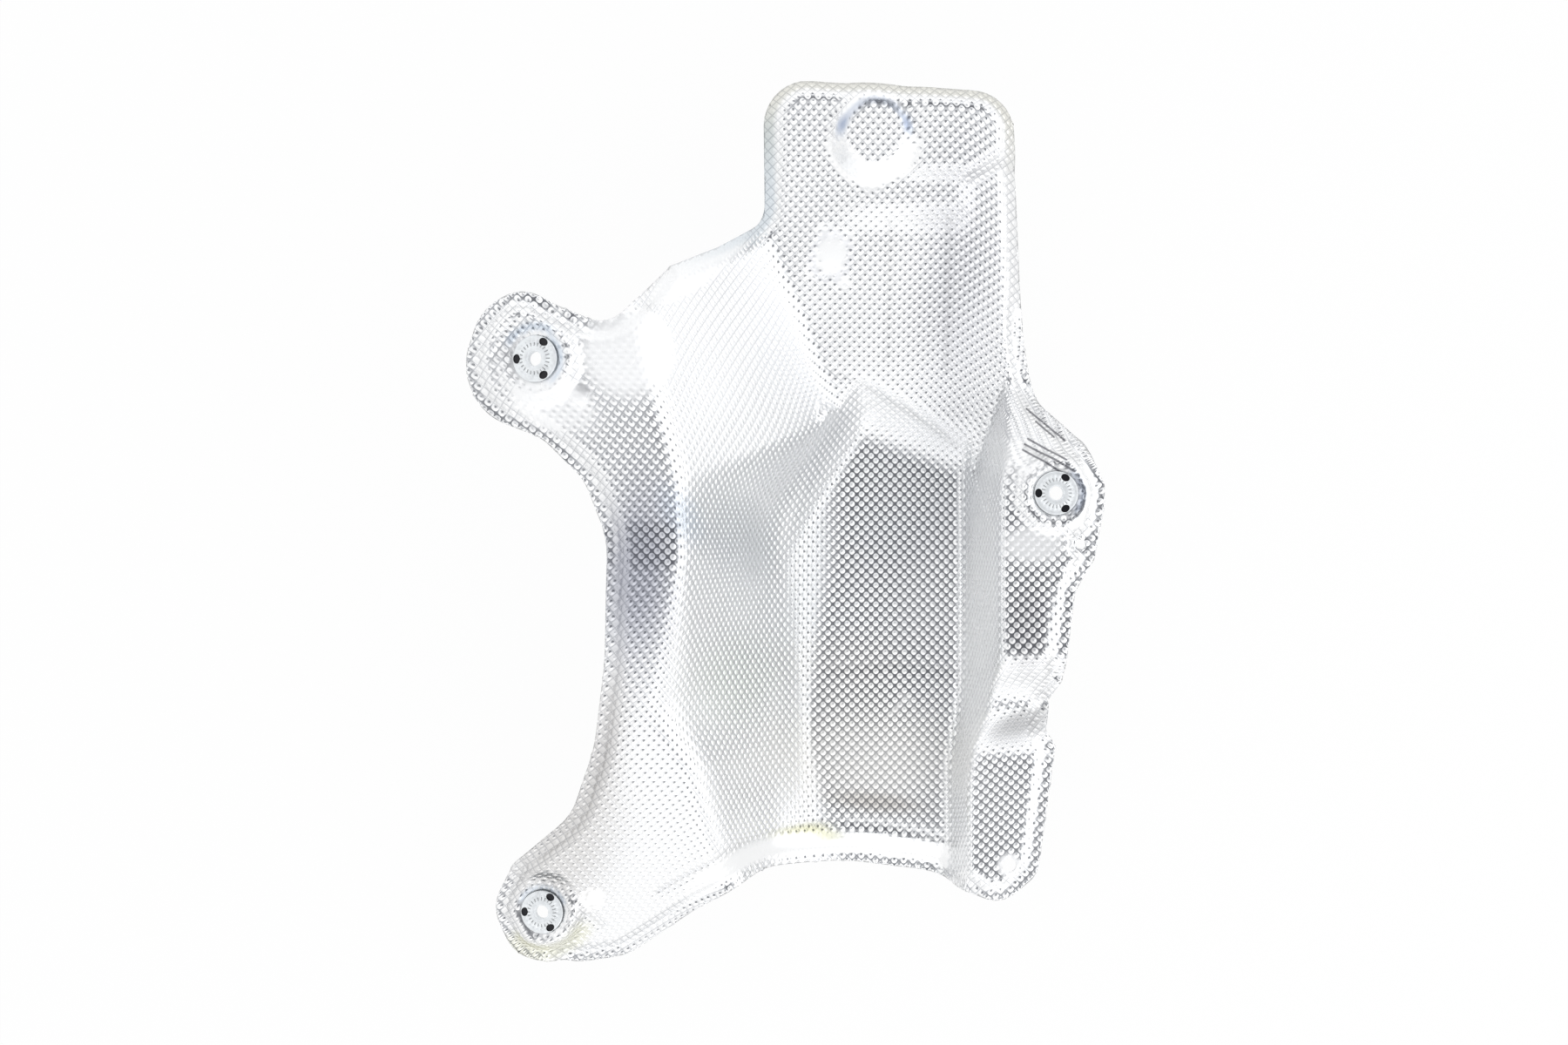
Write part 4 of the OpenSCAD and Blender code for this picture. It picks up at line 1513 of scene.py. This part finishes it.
@dataclass
class Studio:
    """Pale floor, soft light and the overhead camera."""

    lens: float = 44.6
    sensor: float = 36.0
    camera_h: float = 950.0
    camera_reach: float = 20.0
    floor_size: float = 6.0
    floor_colour: Colour = (0.9, 0.9, 0.9)
    floor_roughness: float = 0.9
    floor_glow: float = 0.95
    sky: float = 1.17
    sky_along: float = 0.14
    sky_across: float = 0.1
    dark_spot: tuple[float, float, float] = (0.12, 0.13, 0.98)
    sky_stops: Stops = (
        (0.0, (1.0, 1.0, 1.0)), (0.7, (1.0, 1.0, 1.0)), (0.865, (0.63, 0.64, 0.66)),
        (0.955, (0.22, 0.225, 0.24)), (0.985, (0.1, 0.105, 0.12)))
    lamp_size: float = 1.0
    lamps: tuple[tuple[str, tuple[float, float, float], float], ...] = (
        ("right_soft", (0.9, -0.1, 0.5), 1.5), ("near_soft", (0.1, -0.95, 0.55), 1.2))

    def camera(self) -> None:
        """Adds the camera over the drawing's centre, looking straight down."""
        data = bpy.data.cameras.new("overhead")
        data.lens, data.sensor_width = self.lens, self.sensor
        data.clip_end = self.camera_reach
        cam = bpy.data.objects.new("overhead", data)
        cam.location = (ORIGIN_SHIFT[0] * MM, ORIGIN_SHIFT[1] * MM,
                        (self.camera_h + ORIGIN_SHIFT[2]) * MM)
        bpy.context.scene.collection.objects.link(cam)
        bpy.context.scene.camera = cam

    def floor(self) -> None:
        """Adds the pale floor, near white to the camera, with the part's shadow."""
        bm = bmesh.new()
        bmesh.ops.create_grid(bm, x_segments=1, y_segments=1, size=self.floor_size / 2)
        obj = put("floor", bm)
        mat = bpy.data.materials.new("pale_floor")
        mat.use_nodes = True
        nodes = Nodes(mat.node_tree)
        shader = mat.node_tree.nodes["Principled BSDF"]
        shader.inputs["Base Color"].default_value = (*self.floor_colour, 1)
        shader.inputs["Roughness"].default_value = self.floor_roughness
        glow = nodes.add("ShaderNodeEmission", {"Color": (1, 1, 1, 1)})
        path = nodes.add("ShaderNodeLightPath")
        seen = nodes.maths("ADD", path.outputs["Is Camera Ray"], path.outputs["Is Glossy Ray"],
                           clamp=True)
        mix = nodes.add("ShaderNodeMixShader")
        nodes.feed(mix.inputs[0], nodes.maths("MULTIPLY", seen, self.floor_glow))
        nodes.feed(mix.inputs[1], shader.outputs[0])
        nodes.feed(mix.inputs[2], glow.outputs[0])
        nodes.feed(mat.node_tree.nodes["Material Output"].inputs["Surface"], mix.outputs[0])
        obj.data.materials.append(mat)

    def light(self) -> None:
        """Adds the sky, darker overhead, and two large soft lamps."""
        world = bpy.data.worlds.new("studio")
        bpy.context.scene.world = world
        world.use_nodes = True
        nodes = Nodes(world.node_tree)
        coord = nodes.add("ShaderNodeTexCoord").outputs["Generated"]
        split = nodes.add("ShaderNodeSeparateXYZ", {"Vector": coord})
        aim = nodes.vector("DOT_PRODUCT", coord, Vector(self.dark_spot).normalized())
        tone = nodes.tones(aim.outputs["Value"], self.sky_stops)
        along = nodes.maths("MULTIPLY_ADD", split.outputs["Y"], self.sky_along, self.sky)
        level = nodes.maths("MULTIPLY_ADD", split.outputs["X"], self.sky_across, along)
        scaled = nodes.vector("SCALE", tone)
        nodes.feed(scaled.inputs["Scale"], level)
        path = nodes.add("ShaderNodeLightPath")
        back = world.node_tree.nodes["Background"]
        nodes.feed(back.inputs["Color"], nodes.blend(path.outputs["Is Camera Ray"],
                                                     scaled.outputs[0], (1, 1, 1, 1)))
        back.inputs["Strength"].default_value = 1.0
        for name, place, power in self.lamps:
            data = bpy.data.lights.new(name, "AREA")
            data.energy, data.size = power, self.lamp_size
            lamp = bpy.data.objects.new(name, data)
            lamp.location = place
            lamp.rotation_euler = (-Vector(place)).to_track_quat("-Z", "Y").to_euler()
            bpy.context.scene.collection.objects.link(lamp)


def dress(obj: bpy.types.Object, material: bpy.types.Material, node: str) -> None:
    """Gives a piece its material and its body, and hides the CAD node that it replaces.

    Args:
        obj: The finished piece.
        material: Its material.
        node: The CAD node that it replaces.
    """
    obj.data.materials.clear()
    obj.data.materials.append(material)
    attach(obj, "root")
    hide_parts(node)
    LOG.info("%s: %d faces", obj.name, len(obj.data.polygons))


def main() -> None:
    """Builds the studio, the sheet and the washers in order."""
    logging.basicConfig(level=logging.INFO)
    bpy.context.scene.view_settings.view_transform = "Standard"
    studio = Studio()
    studio.camera()
    studio.floor()
    studio.light()
    dress(Sheet().build(), AluminiumFinish().material(), "shield")
    steel = SteelFinish().material()
    for seat in SEATS:
        washer = Washer(seat).build()
        for face in washer.data.polygons:
            face.use_smooth = False
        dress(washer, steel, seat.node)


if __name__ == "__main__":
    main()
